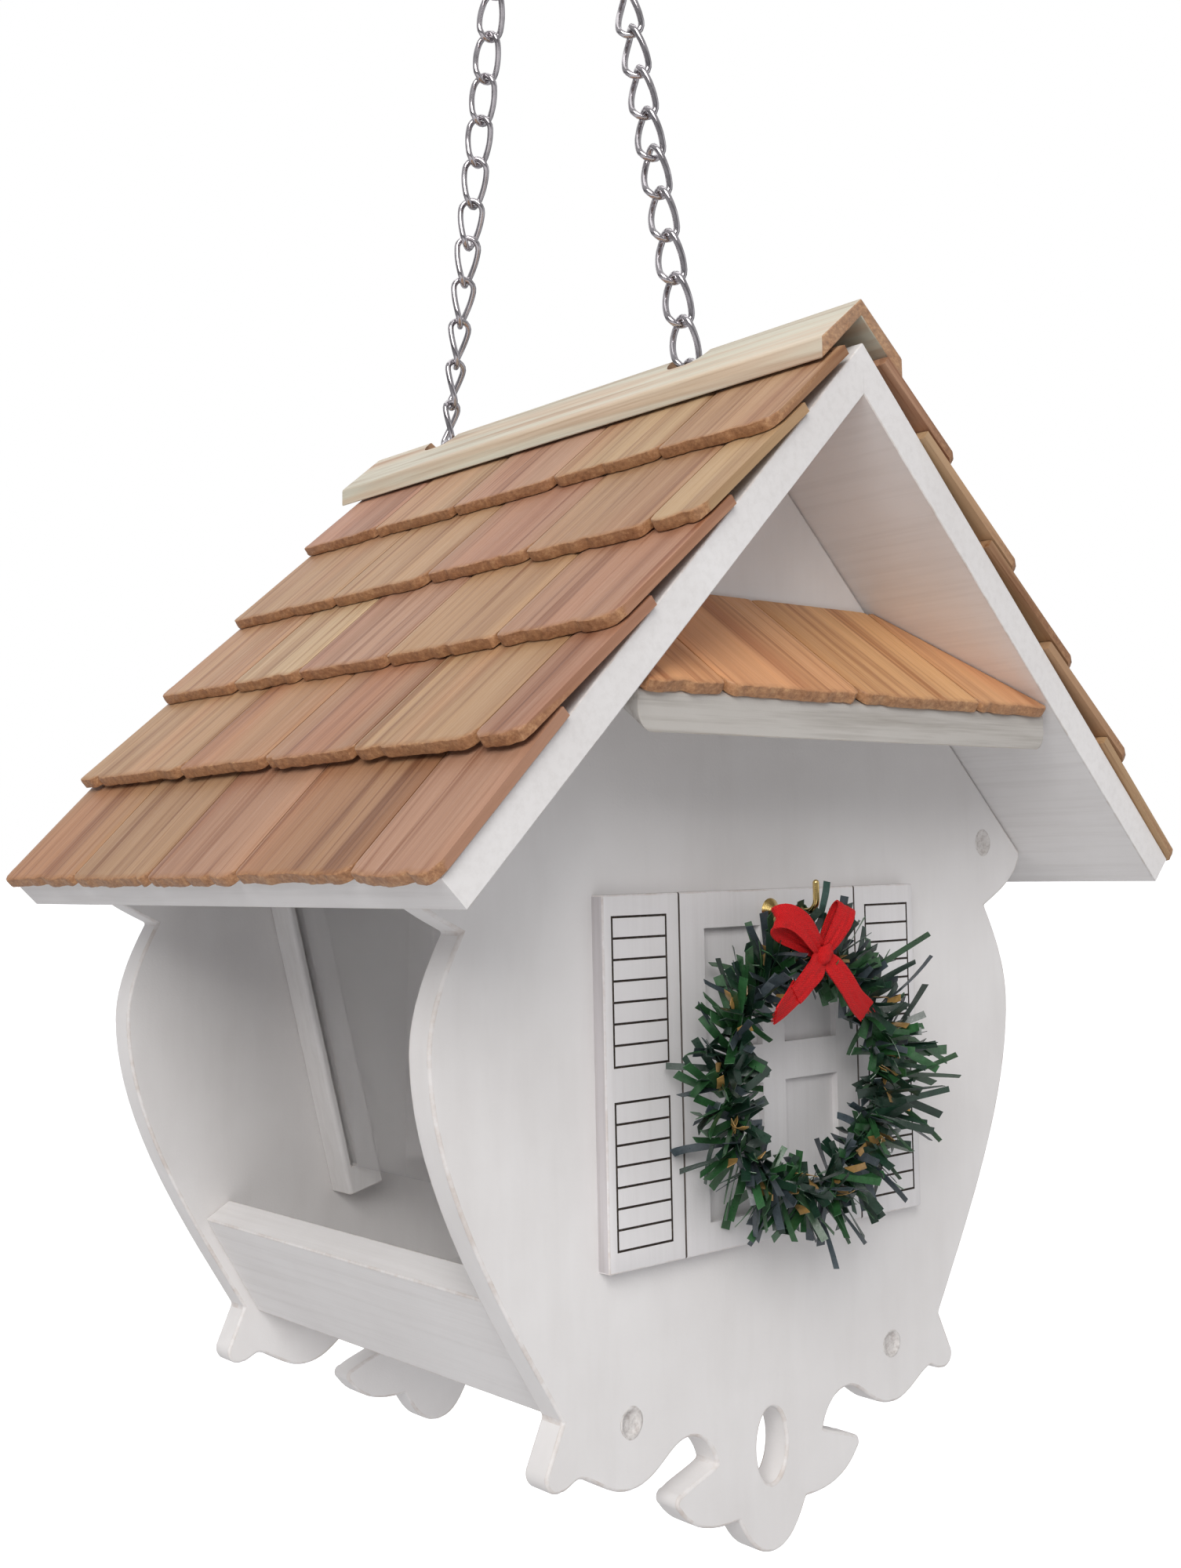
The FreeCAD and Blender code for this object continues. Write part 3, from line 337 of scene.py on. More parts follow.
def welded(node):
    """The CAD node's own mesh as a bmesh, with its split corners joined."""
    bm = bmesh.new()
    bm.from_mesh(NODES[node].data)
    bmesh.ops.remove_doubles(bm, verts=bm.verts, dist=2e-6)
    return bm


def float_layer(bm, name, kind="verts"):
    """A float layer, made if it isn't there yet. Layers come before any face is kept in a variable."""
    layers = getattr(bm, kind).layers.float
    return layers.get(name) or layers.new(name)


def merge_flat(bm, degrees, **options):
    """Join the faces that meet within an angle."""
    limit = math.radians(degrees)
    bmesh.ops.dissolve_limit(bm, angle_limit=limit, verts=bm.verts, edges=bm.edges, **options)


def round_edges(bm, edges, radius, segments=2, clamp=False):
    """Round edges by a radius in mm. The face layer "edge" becomes 1 there."""
    shape = dict(offset=radius * MM, segments=segments, profile=0.5, affect="EDGES", clamp_overlap=clamp)
    made = bmesh.ops.bevel(bm, geom=edges, **shape)
    layer = bm.faces.layers.float["edge"]
    for face in made["faces"]:
        face[layer] = 1.0


def longer_than(length):
    """A choice of the edges longer than a length in mm."""
    return lambda edge: edge.calc_length() > length * MM


def eased(node, radius, segments=2, chosen=longer_than(0)):
    """The CAD node's own shape with its chosen sharp edges rounded."""
    bm = welded(node)
    float_layer(bm, "edge", "faces")
    merge_flat(bm, 0.4)
    sharp = [e for e in bm.edges if len(e.link_faces) == 2 and e.calc_face_angle(0.0) > math.radians(30)]
    round_edges(bm, [e for e in sharp if chosen(e)], radius, segments)
    return bm


def grain_along(bm, along, across, tone, offset):
    """Write the grain, tone and end attributes for wood cut along an axis."""
    thick = along.cross(across)
    bm.verts.layers.float_vector.new("grain")
    tones = float_layer(bm, "tone")
    grain = bm.verts.layers.float_vector["grain"]
    for v in bm.verts:
        v[grain] = Vector((v.co.dot(across), v.co.dot(along), v.co.dot(thick))) + offset
        v[tones] = tone
    ends = float_layer(bm, "end", "faces")
    bm.normal_update()
    for face in bm.faces:
        face[ends] = 1.0 if abs(face.normal.dot(along)) > 0.7 else 0.0


def bridge(bm, a, b):
    """Faces between two closed rows with as many vertices."""
    for k in range(len(a)):
        after = (k + 1) % len(a)
        bm.faces.new((a[k], a[after], b[after], b[k]))


def closed_rows(bm, rows):
    """Faces along a list of closed rows, with a cap at each end."""
    for a, b in zip(rows, rows[1:]):
        bridge(bm, a, b)
    bm.faces.new(list(reversed(rows[0])))
    bm.faces.new(rows[-1])


def tube(bm, points, radius, sides=10, closed=False):
    """A round tube along points, with a frame carried along without twisting. Returns its vertices."""
    count = len(points)
    rings = []
    normal = None
    for i, p in enumerate(points):
        before = points[(i - 1) % count] if closed or i else p
        after = points[(i + 1) % count] if closed or i < count - 1 else p
        tangent = (after - before).normalized()
        if normal is None:
            normal = tangent.orthogonal().normalized()
        normal = (normal - tangent * normal.dot(tangent)).normalized()
        side = tangent.cross(normal)
        ring = []
        for k in range(sides):
            a = math.tau * k / sides
            ring.append(bm.verts.new(p + (normal * math.cos(a) + side * math.sin(a)) * radius))
        rings.append(ring)
    if closed:
        # The frame may come back turned, so the last ring is joined to the first where they line up.
        start = min(range(sides), key=lambda k: (rings[0][k].co - rings[-1][0].co).length)
        for a, b in zip(rings, rings[1:]):
            bridge(bm, a, b)
        bridge(bm, rings[-1], rings[0][start:] + rings[0][:start])
    else:
        closed_rows(bm, rings)
    return [v for ring in rings for v in ring]


def strip(bm, spine, widths, wide, thick, columns=1):
    """A flat strip along a spine. widths gives the direction across it at each point, and wide is a size or a
    function of the share along. Returns its rows of vertices: over the top, then back underneath."""
    rows = []
    count = len(spine)
    for i, (p, across) in enumerate(zip(spine, widths)):
        before = spine[max(0, i - 1)]
        after = spine[min(count - 1, i + 1)]
        tangent = (after - before).normalized()
        across = (across - tangent * across.dot(tangent)).normalized()
        up = across.cross(tangent)
        share = i / (count - 1)
        half = (wide(share) if callable(wide) else wide) / 2
        rise = thick / 2
        steps = [2 * k / columns - 1 for k in range(columns + 1)]
        top = [bm.verts.new(p + across * half * step + up * rise) for step in steps]
        low = [bm.verts.new(p - across * half * step - up * rise) for step in steps]
        rows.append(top + low)
    closed_rows(bm, rows)
    return rows


def rough(point, scale, seed):
    """Smooth noise from -1 to 1 at a point in millimetres."""
    return noise.noise(Vector(point) * scale + Vector((seed, seed * 1.7, -seed)))


# ---------------- painted boards


def on_outline(edge):
    """True for a panel's edges away from its screw holes and the bore of the wreath's hook."""
    middle = ((edge.verts[0].co + edge.verts[1].co) / 2 - HOUSE) / MM
    near_screw = any(math.hypot(middle.x - x, middle.z - z) < 5 for x, z in SCREWS)
    return not near_screw and math.hypot(middle.x, middle.z - HOOK_HIGH) > 6


def painted_board(node, material, radius=0.5, segments=2, chosen=longer_than(0), body="house"):
    """A CAD board under paint, its chosen edges rounded by a radius in mm."""
    bm = eased(node, radius, segments, chosen)
    finished(f"{node}_painted", bm, [material], body, "white_paint", [node], 30, weighted=True)


for node in ("front_panel", "rear_panel"):
    painted_board(node, "panel_paint", 0.8, 3, on_outline)
for node in ("left_roof_board", "right_roof_board"):
    painted_board(node, "board_paint", 0.35, chosen=longer_than(50), body="roof")
for node in ("left_tray_rail", "right_tray_rail", "tray_floor", "left_top_rail", "right_top_rail"):
    painted_board(node, "rail_paint", 0.6, chosen=longer_than(5))
for end in ("front", "rear"):
    for word in ("left", "right"):
        painted_board(f"{end}_{word}_hopper_batten", "batten_paint", 0.4)
painted_board("awning_board", "awning_paint")
for word in ("left", "right"):
    bm = eased(f"{word}_clear_panel", 0.2)
    finished(f"{word}_clear_sheet", bm, ["clear"], "house", "clear_sheet", [f"{word}_clear_panel"], 30)


def dimple_depth(r, a, seed):
    """Depth of the filler at a distance and an angle from the screw's axis."""
    lip = 3.1 + 0.45 * rough((math.cos(a) * 2, math.sin(a) * 2, 0), 1.1, seed)
    inside = max(0.0, min(1.0, (lip - r) / 0.8))
    inside = inside * inside * (3 - 2 * inside)
    lump = 0.22 * rough((r * math.cos(a), r * math.sin(a), 3), 0.9, seed)
    return inside * (0.85 + lump) - 0.03


def screw_dimple(bm, x, z, face_y, out, rng):
    """A ragged shallow dimple of filler. out is -1 at the front and 1 at the rear."""
    rings, spokes = 9, 30
    rim, rim_depth = 4.0, 0.35
    base, base_depth = 3.5, 2.2
    seed = rng.random() * 90
    wide, tall = 0.86 + 0.1 * rng.random(), 1.0 + 0.08 * rng.random()
    angles = [math.tau * k / spokes for k in range(spokes)]

    def spot(across, up, depth):
        return bm.verts.new(at(x + across, face_y - out * depth, z + up))

    rows = []
    for ring in range(1, rings + 1):
        r = rim * (ring / rings) ** 0.85
        depths = [rim_depth if ring == rings else dimple_depth(r, a, seed) for a in angles]
        rows.append([spot(r * wide * math.cos(a), r * tall * math.sin(a), d) for a, d in zip(angles, depths)])
    rows.append([spot(base * math.cos(a), base * math.sin(a), base_depth) for a in angles])
    for inner, outer in zip(rows, rows[1:]):
        bridge(bm, inner, outer)
    for tip, row in ((spot(0, 0, 0.95), rows[0]), (spot(0, 0, base_depth + 0.1), rows[-1])):
        for k in range(spokes):
            bm.faces.new((tip, row[k], row[(k + 1) % spokes]))


def screw_dimples():
    """The painted filler over the screws, at both ends of the house."""
    bm = bmesh.new()
    rng = random.Random(5)
    for face_y, out in ((FRONT_FACE, -1), (REAR_FACE, 1)):
        for x, z in SCREWS:
            screw_dimple(bm, x, z, face_y, out, rng)
    built("screw_dimples", bm, ["filler"], "house", "filler", ["screw_fillers"], 80)


screw_dimples()

# ---------------- window plaque

PLAQUE = dict(half=56.1, low=77.9, high=164.7, board=3.8)
SHUTTER = 31.8  # from the middle to the groove between window and shutter
SLATS = 7
LINE = 0.28  # half the width of an engraved line
GROOVE = 0.3  # half the width of a groove
PANE_DEEP, GROOVE_DEEP, LINE_DEEP = 1.9, 0.55, 0.45
# Openings of one half of the window, as (low X, high X, low Z, high Z)
PANES = [(4.0, 23.5, 85.1, 116.8), (4.0, 23.5, 126.2, 155.8)]
LOUVRES = [(36.2, 53.3, 82.9, 116.6), (36.2, 53.3, 124.9, 159.5)]
PAINT, BURNT, SHADED, SHADED_SIDE = range(4)  # the plaque's materials: paint, burnt lines, painted shade in the grooves, and painted shade on the side walls


def plaque_depth(x, z):
    """(depth in mm, material) of the plaque's face at a place."""
    x = abs(x)
    if abs(x - SHUTTER) < GROOVE:
        return GROOVE_DEEP, SHADED
    for x0, x1, z0, z1 in PANES:
        if x0 < x < x1 and z0 < z < z1:
            return PANE_DEEP, PAINT
    for x0, x1, z0, z1 in LOUVRES:
        if x0 - LINE < x < x1 + LINE and z0 - LINE < z < z1 + LINE:
            pitch = (z1 - z0) / SLATS
            place = (z - z0) / pitch
            if abs(place - round(place)) * pitch < LINE or x < x0 + LINE or x > x1 - LINE:
                return LINE_DEEP, BURNT
    return 0.0, PAINT


def plaque_grid():
    """The X and Z places where the plaque's face changes."""
    xs = {PLAQUE["half"], SHUTTER - GROOVE, SHUTTER + GROOVE}
    zs = {PLAQUE["low"], PLAQUE["high"]}
    for x0, x1, z0, z1 in PANES:
        xs |= {x0, x1}
        zs |= {z0, z1}
    for x0, x1, z0, z1 in LOUVRES:
        xs |= {x0 - LINE, x0 + LINE, x1 - LINE, x1 + LINE}
        for k in range(SLATS + 1):
            z = z0 + (z1 - z0) * k / SLATS
            zs |= {z - LINE, z + LINE}
    return sorted({-x for x in xs} | xs), sorted(zs)


def stepped_board(bm, xs, zs, front):
    """The plaque's cells at their own depths, the walls between them, and its flat back."""
    board = PLAQUE["board"]
    corners = {}

    def add_face(places, material):
        """A face through (x, z, depth) places; faces that share a place share its vertex."""
        loop = []
        for x, z, depth in places:
            key = (round(x, 4), round(z, 4), round(depth, 4))
            if key not in corners:
                corners[key] = bm.verts.new(at(x, front + depth, z))
            loop.append(corners[key])
        bm.faces.new(loop).material_index = material

    cells = {}
    for i in range(len(xs) - 1):
        for j in range(len(zs) - 1):
            cells[i, j] = plaque_depth((xs[i] + xs[i + 1]) / 2, (zs[j] + zs[j + 1]) / 2)
    for (i, j), (depth, material) in cells.items():
        a, b, c, d = (xs[i], zs[j]), (xs[i + 1], zs[j]), (xs[i + 1], zs[j + 1]), (xs[i], zs[j + 1])
        add_face([(*spot, depth) for spot in (a, b, c, d)], material)
        add_face([(*spot, board) for spot in (a, d, c, b)], PAINT)
        sides = (((i - 1, j), a, d), ((i + 1, j), b, c), ((i, j - 1), a, b), ((i, j + 1), d, c))
        for other, start, end in sides:
            # walls round the plaque's outline take the side paint, whose darker tone is painted shade
            other_depth, other_material = cells.get(other, (board, SHADED_SIDE))
            if other_depth > depth + 1e-6:
                wall = [(*start, depth), (*end, depth), (*end, other_depth), (*start, other_depth)]
                add_face(wall, other_material)


def on_plaque_outline(edge, front):
    """True for the edges round the plaque's face and its upright corners."""
    a, b = ((v.co - HOUSE) / MM for v in edge.verts)
    same_x, same_y, same_z = (abs(p - q) < 0.01 for p, q in zip(a, b))
    on_side = same_x and abs(abs(a.x) - PLAQUE["half"]) < 0.01
    on_end = same_z and min(abs(a.z - PLAQUE["low"]), abs(a.z - PLAQUE["high"])) < 0.01
    at_front = same_y and abs(a.y - front) < 0.01
    return (on_side or on_end) and (at_front or (same_x and same_z)) and edge.calc_face_angle(0.0) > 1


def window_plaque():
    """The plaque as one closed board with its panes, louvres and grooves cut into it."""
    front = FRONT_FACE - PLAQUE["board"]
    bm = bmesh.new()
    float_layer(bm, "edge", "faces")
    stepped_board(bm, *plaque_grid(), front)
    merge_flat(bm, 0.5, delimit={"MATERIAL"})
    bmesh.ops.recalc_face_normals(bm, faces=bm.faces)
    outline = [e for e in bm.edges if len(e.link_faces) == 2 and on_plaque_outline(e, front)]
    round_edges(bm, outline, 0.4, clamp=True)
    materials = ["plaque_paint", "engraved", "groove", "shaded_plaque_side"]
    finished("window_plaque_engraved", bm, materials, "house", "white_paint", ["window_plaque"], 30)


window_plaque()

# ---------------- shingles and ridge cap

COURSES = 5
FACE_ROWS, UNDER_ROWS = 16, 4
# A torn butt from its underside up: (out from the butt line, share of the thickness, roughness, end grain)
BUTT = [
    (0.6, 0.0, 0.05, 0.0), (0.12, 0.03, 0.12, 1.0), (0.0, 0.22, 0.2, 1.0), (0.02, 0.5, 0.24, 1.0),
    (0.06, 0.76, 0.2, 1.0), (0.14, 0.93, 0.14, 1.0), (0.42, 0.99, 0.05, 0.55),
]


def islands(bm):
    """The separate solids of a bmesh, each as its list of faces."""
    left, found = set(bm.faces), []
    while left:
        todo, group = [left.pop()], []
        while todo:
            face = todo.pop()
            group.append(face)
            for other in (f for edge in face.edges for f in edge.link_faces):
                if other in left:
                    left.remove(other)
                    todo.append(other)
        found.append(group)
    return found


def plate_frame(faces, across):
    """(corner, up the plate, normal, (width, length, thickness)) of a plate whose width runs along across."""
    top = max((f for f in faces if f.normal.z > 0.2), key=lambda f: f.calc_area())
    normal = top.normal.copy()
    up = normal.cross(across).normalized()
    if up.z < 0:
        up.negate()
    points = {v for f in faces for v in f.verts}
    spans = [[d.dot(v.co) for v in points] for d in (across, up, normal)]
    lows = [min(s) for s in spans]
    sizes = [max(s) - min(s) for s in spans]
    corner = across * lows[0] + up * lows[1] + normal * lows[2]
    return corner, up, normal, sizes


def butt_line(wide, seed, rng):
    """A function of x that gives a torn butt's distance from the plate's lower edge, in mm."""
    slant = rng.uniform(-0.5, 0.5)
    shift = rng.uniform(0.2, 1.5)
    radii = (rng.uniform(1.8, 4.4), rng.uniform(1.8, 4.4))
    chips = [
        (rng.uniform(0.1, 0.9) * wide, rng.uniform(0.3, 0.8), rng.uniform(0.8, 2.2))
        for _ in range(rng.randint(1, 3))
    ]

    def butt(x):
        b = shift + slant * (x / wide - 0.5) * 0.7
        b += 0.6 * rough((x, 0, 0), 0.16, seed) + 0.32 * rough((x, 5, 0), 0.5, seed)
        for place, deep, reach in chips:
            b += deep * math.exp(-(((x - place) / reach) ** 2))
        for distance, radius in ((x, radii[0]), (wide - x, radii[1])):
            if distance < radius:
                b += radius - math.sqrt(max(0.0, radius**2 - (radius - distance) ** 2))
        return max(0.0, b)

    return butt


def shingle_section(x, b, squeeze, long, thick, seed):
    """The closed section of a shingle at x, as (y, z, end grain): its butt, its face and its underside."""
    section = []
    for out, share, ragged, end in BUTT:
        y = b + out + ragged * rough((x * 0.6, share * thick * 2.0, 9), 0.7, seed)
        section.append((y, squeeze + share * (thick - 2 * squeeze), end))
    for j in range(1, FACE_ROWS + 1):
        y = b + 0.55 + (long - b - 0.55) * (j / FACE_ROWS) ** 1.25
        ridge = 0.07 * rough((x * 6, y * 0.12, 0), 0.35, seed) - 0.03
        section.append((y, thick - squeeze + ridge - 0.05, 0.0))
    for j in range(UNDER_ROWS, 0, -1):
        section.append((b + 0.75 + (long - b - 0.75) * (j / UNDER_ROWS), squeeze, 0.0))
    return section


def shingle(bm, plate, across, rng, trim):
    """A sawn shingle filling a plate: wavy torn butt, rounded corners and grain ridges on its face."""
    corner, up, normal, sizes = plate
    wide, long, thick = (s / MM for s in sizes)
    seed = rng.random() * 200
    tone = rng.random()
    offset = Vector((rng.uniform(-3, 3), rng.uniform(-3, 3), rng.uniform(-3, 3)))
    butt = butt_line(wide, seed, rng)
    layers = bm.verts.layers
    grain, tones, ends = layers.float_vector["grain"], layers.float["tone"], layers.float["end"]
    columns = max(16, int(wide / 1.1))
    rows = []
    for i in range(columns + 1):
        x = wide * i / columns
        squeeze = {0: 0.3, 1: 0.08}.get(min(i, columns - i), 0.0)
        row = []
        for y, z, end in shingle_section(x, butt(x), squeeze, long, thick, seed):
            v = bm.verts.new(trim(corner + (across * x + up * y + normal * z) * MM))
            v[grain] = Vector((x, y, z)) * MM + offset
            v[tones] = tone
            v[ends] = end
            row.append(v)
        rows.append(row)
    closed_rows(bm, rows)


def shingles(node, material, across, body, seed, trim=lambda spot: spot):
    """Sawn shingles in the places of a CAD node's plates."""
    source = welded(node)
    source.normal_update()
    bm = bmesh.new()
    bm.verts.layers.float_vector.new("grain")
    bm.verts.layers.float.new("tone")
    bm.verts.layers.float.new("end")
    rng = random.Random(seed)
    merge_flat(source, 0.4)
    for faces in sorted(islands(source), key=lambda g: min(across.dot(v.co) for f in g for v in f.verts)):
        shingle(bm, plate_frame(faces, across), across, rng, trim)
    source.free()
    built(f"{node}_sawn", bm, [material], body, "cedar", [node], 40)


def under_roof(spot):
    """Keep a point of the awning's shingles under the roof boards."""
    slope = math.atan2(RIDGE_HIGH - EAVE_HIGH, ROOF_HALF)
    peak = at(0, 0, RIDGE_HIGH - ROOF_BOARD / math.cos(slope) - 0.6).z
    limit = (peak - spot.z) / math.tan(slope)
    if abs(spot.x) > limit:
        spot = Vector((math.copysign(limit, spot.x), spot.y, spot.z))
    return spot


for side, word in enumerate(("left", "right")):
    for index in range(1, COURSES + 1):
        seed = 40 * side + index + 11
        shingles(f"{word}_shingles_course_{index}", "cedar", Vector((0, 1, 0)), "roof", seed)
shingles("awning_shingles", "awning_cedar", Vector((1, 0, 0)), "house", 71, under_roof)

bm = eased("ridge_cap", 0.45, chosen=longer_than(8))
grain_along(bm, Vector((0, 1, 0)), Vector((1, 0, 0)), 0.4, Vector((1.3, 0.2, 0.7)))
finished("ridge_cap_planed", bm, ["pale_cedar"], "roof", "pale_cedar", ["ridge_cap"], 30, weighted=True)

# ---------------- chains and fittings

LINK_WIRE, LINK_WIDTH, LINK_GAP = 1.8, 8.2, 0.12
TURNING_LINKS = 9  # links beyond this many turn no further
# node, body, and in degrees: the lowest link's turn, the turn from link to link and the twist in a link
CHAIN_RUNS = [
    ("front_chain_lower", "front_chain_low", 122, -1.5, -84),
    ("front_chain_upper", "front_chain_top", 110, -5.5, -84),
    ("rear_chain_lower", "rear_chain_low", 265, -12, -76),
    ("rear_chain_upper", "rear_chain_top", 174, -8.5, -78),
]
FITTINGS = dict(
    front_screw_eye="nickel", rear_screw_eye="nickel", top_ring="nickel", hanging_hook="nickel",
    panel_screws="zinc", wreath_hook="brass",
)


def oval(radius, straight):
    """(across, along) points of a loop with round ends about two points straight from its middle."""
    arcs, runs = 11, 7
    points = []
    for way in (1, -1):
        for k in range(arcs):
            a = math.pi * k / (arcs - 1)
            points.append((way * radius * math.cos(a), way * (straight + radius * math.sin(a))))
        for k in range(1, runs):
            points.append((-way * radius, way * (straight - 2 * straight * k / runs)))
    return points


def twisted_link(bm, middle, axis, side, length, twist):
    """A closed link of round wire, its oval loop twisted about its long axis."""
    other = axis.cross(side).normalized()
    radius = (LINK_WIDTH - LINK_WIRE) / 2
    straight = length / 2 - LINK_WIRE / 2 - radius
    spine = []
    for x, z in oval(radius, straight):
        share = max(-1.0, min(1.0, z / (straight + 0.6 * radius)))
        turn = math.radians(twist) * 0.5 * share
        bulge = 1 + 0.06 * math.cos(math.pi * z / (2 * (straight + radius)))
        direction = side * math.cos(turn) + other * math.sin(turn)
        spine.append(middle + (direction * x * bulge + axis * z) * MM)
    tube(bm, spine, LINK_WIRE / 2 * MM, closed=True)


def flat_side(points, axis):
    """The direction across the axis in which a link is widest."""
    start = axis.orthogonal().normalized()
    turned = [Matrix.Rotation(math.radians(5 * k), 3, axis) @ start for k in range(36)]
    return max(turned, key=lambda d: max(d.dot(p) for p in points) - min(d.dot(p) for p in points))


def cad_links(node):
    """(centre, points) of each CAD link of a run, from the lowest up."""
    source = welded(node)
    found = []
    for faces in islands(source):
        points = [v.co.copy() for v in {v for f in faces for v in f.verts}]
        centre = Vector([(min(p[k] for p in points) + max(p[k] for p in points)) / 2 for k in range(3)])
        found.append((centre, points))
    source.free()
    return sorted(found, key=lambda link: link[0].z)


def chain(node, body, first_turn, turn_step, twist):
    """A run's links, each at the place of its CAD link, twisted and turned about the run.
    The top link of an upper run lies flat in its CAD link's plane, which keeps it clear of the ring."""
    links = cad_links(node)
    reach = links[-1][0] - links[0][0]
    axis = reach.normalized()
    length = reach.length / (len(links) - 1) / MM + 2 * LINK_WIRE + LINK_GAP
    start = Vector((1, 0, 0))
    start = (start - axis * start.dot(axis)).normalized()
    bm = bmesh.new()
    for index, (centre, points) in enumerate(links):
        if node.endswith("upper") and index == len(links) - 1:
            twisted_link(bm, centre, axis, flat_side(points, axis), length, 0)
        else:
            turn = math.radians(first_turn + turn_step * min(index, TURNING_LINKS))
            twisted_link(bm, centre, axis, Matrix.Rotation(turn, 3, axis) @ start, length, twist)
    built(f"{node}_links", bm, ["nickel"], body, "bright_steel", [node], 60)


for run in CHAIN_RUNS:
    chain(*run)
for node, material in FITTINGS.items():
    mesh = NODES[node].data
    mesh.materials.clear()
    mesh.materials.append(MATERIALS[material])

# ---------------- wreath

WREATH = Vector((0, -75.4, 118.8))  # its middle
CORE = 27.0  # radius of its wire ring
STRIPS, BARK_BITS = 620, 46
PLAQUE_CLEAR = -66.0  # the strips stay in front of this Y
FILM_THICK = 0.16
# (share of the strips, colour)
FILM_TINTS = [
    (0.42, (0.010, 0.034, 0.020)),
    (0.35, (0.022, 0.088, 0.028)),
    (0.23, (0.046, 0.062, 0.074)),
]
BARK = (0.40, 0.235, 0.075)
INWARDS = Vector((0, 1, 0))  # from the front panel into the house


def tint_for(rng):
    pick = rng.random()
    for share, tint in FILM_TINTS:
        if pick < share:
            break
        pick -= share
    shade = rng.uniform(0.75, 1.3)
    return [c * shade for c in tint]


def tinted_strip(bm, spine, widths, wide, tint):
    """A film strip through house points, in one colour."""
    layer = bm.verts.layers.float_color["tint"]
    for row in strip(bm, [at(*p) for p in spine], widths, wide * MM, FILM_THICK * MM):
        for v in row:
            v[layer] = (*tint, 1.0)


def film_strip(bm, base, direction, length, wide, bend, turn, tint, kink=0.0):
    """One cut strip from its root, bending and turning as it goes out."""
    steps = 7
    across = Matrix.Rotation(turn, 3, direction) @ direction.orthogonal().normalized()
    heading = direction.copy()
    spot = base.copy()
    spine, widths = [base.copy()], [across]
    for k in range(steps):
        angle = bend / steps + (kink if k == steps // 2 else 0.0)
        heading = (Matrix.Rotation(angle, 3, across) @ heading).normalized()
        spot = spot + heading * (length / steps)
        if spot.y > PLAQUE_CLEAR:
            spot.y = PLAQUE_CLEAR - 0.2 * k / steps
        across = (Matrix.Rotation(0.06, 3, heading) @ across).normalized()
        spine.append(spot.copy())
        widths.append(across)
    tinted_strip(bm, spine, widths, wide, tint)


def spoke(a):
    """The direction at an angle in the wreath's plane."""
    return Vector((math.cos(a), 0, math.sin(a)))


def ring_place(index, count, rng):
    """(angle, radial, tangent) of one of count places round the wreath, a little out of step."""
    around = math.tau * (index + rng.uniform(-0.5, 0.5)) / count
    radial = spoke(around)
    return around, radial, Vector((-radial.z, 0, radial.x))


def leaning(radial, tangent, roll, sideways):
    """The direction rolled from radial towards the viewer, and pushed sideways round the ring."""
    direction = radial * math.cos(roll) - INWARDS * math.sin(roll)
    return (direction + tangent * sideways).normalized()


def roll_and_length(around, rng):
    """Half of the strips point out, more of them long at the right; the rest point forwards or inwards."""
    kind = rng.random()
    right_side = max(0.0, math.cos(around - 0.35))
    if kind < 0.5:
        roll = rng.gauss(0.15, 0.42)
        length = rng.uniform(11.5, 17.0) + (6.5 * right_side if rng.random() < 0.35 else 0.0)
    elif kind < 0.72:
        roll = rng.uniform(0.9, 1.9)
        length = rng.uniform(8.0, 12.5)
    else:
        roll = rng.uniform(2.2, 3.5)
        length = rng.uniform(6.0, 9.5)
    if rng.random() < 0.04 and kind < 0.5:
        length += 6.0
    return roll, length


def green_strip(bm, index, rng):
    around, radial, tangent = ring_place(index, STRIPS, rng)
    roll, length = roll_and_length(around, rng)
    direction = leaning(radial, tangent, roll, rng.gauss(-0.15, 0.5))
    base = WREATH + radial * (CORE + rng.uniform(-1.5, 1.5)) + tangent * rng.uniform(-1, 1)
    base.y += rng.uniform(-1.5, 1.0)
    kink = rng.choice((-1, 1)) * rng.uniform(0.5, 1.1) if rng.random() < 0.08 else 0.0
    wide, bend, turn = rng.uniform(1.5, 2.5), rng.gauss(0.0, 0.4), rng.uniform(0, math.tau)
    film_strip(bm, base, direction, length, wide, bend, turn, tint_for(rng), kink)


def bark_bit(bm, index, rng):
    _, radial, tangent = ring_place(index, BARK_BITS, rng)
    direction = leaning(radial, tangent, rng.uniform(0.3, 2.0), rng.gauss(0, 0.6))
    base = WREATH + radial * (CORE + rng.uniform(-2.5, 3.5)) + direction * rng.uniform(1.5, 5.0)
    shade = rng.uniform(0.7, 1.25)
    length, wide = rng.uniform(3.5, 6.0), rng.uniform(1.8, 2.7)
    bend, turn = rng.gauss(0, 0.5), rng.uniform(0, math.tau)
    film_strip(bm, base, direction, length, wide, bend, turn, [c * shade for c in BARK])


def wreath_greenery():
    """Cut film strips caught in a ring of twisted wire."""
    bm = bmesh.new()
    bm.verts.layers.float_color.new("tint")
    rng = random.Random(20)
    for index in range(STRIPS):
        green_strip(bm, index, rng)
    for index in range(BARK_BITS):
        bark_bit(bm, index, rng)
    built("wreath_film_strips", bm, ["film"], "wreath", "greenery", ["wreath_greenery"], 40)


def twisted_ring(name, stands_for, centre, radius, strand, apart, twists, steps):
    """Two strands of wire twisted round each other into a ring."""
    bm = bmesh.new()
    for phase in (0.0, math.pi):
        spine = []
        for k in range(steps):
            a = math.tau * k / steps
            turn = twists * a + phase
            spot = spoke(a) * (radius + math.cos(turn) * apart) + INWARDS * math.sin(turn) * apart
            spine.append(at(*(centre + spot)))
        tube(bm, spine, strand * MM, 7, closed=True)
    built(name, bm, ["lacquer"], "wreath", "greenery_wire", stands_for, 60)


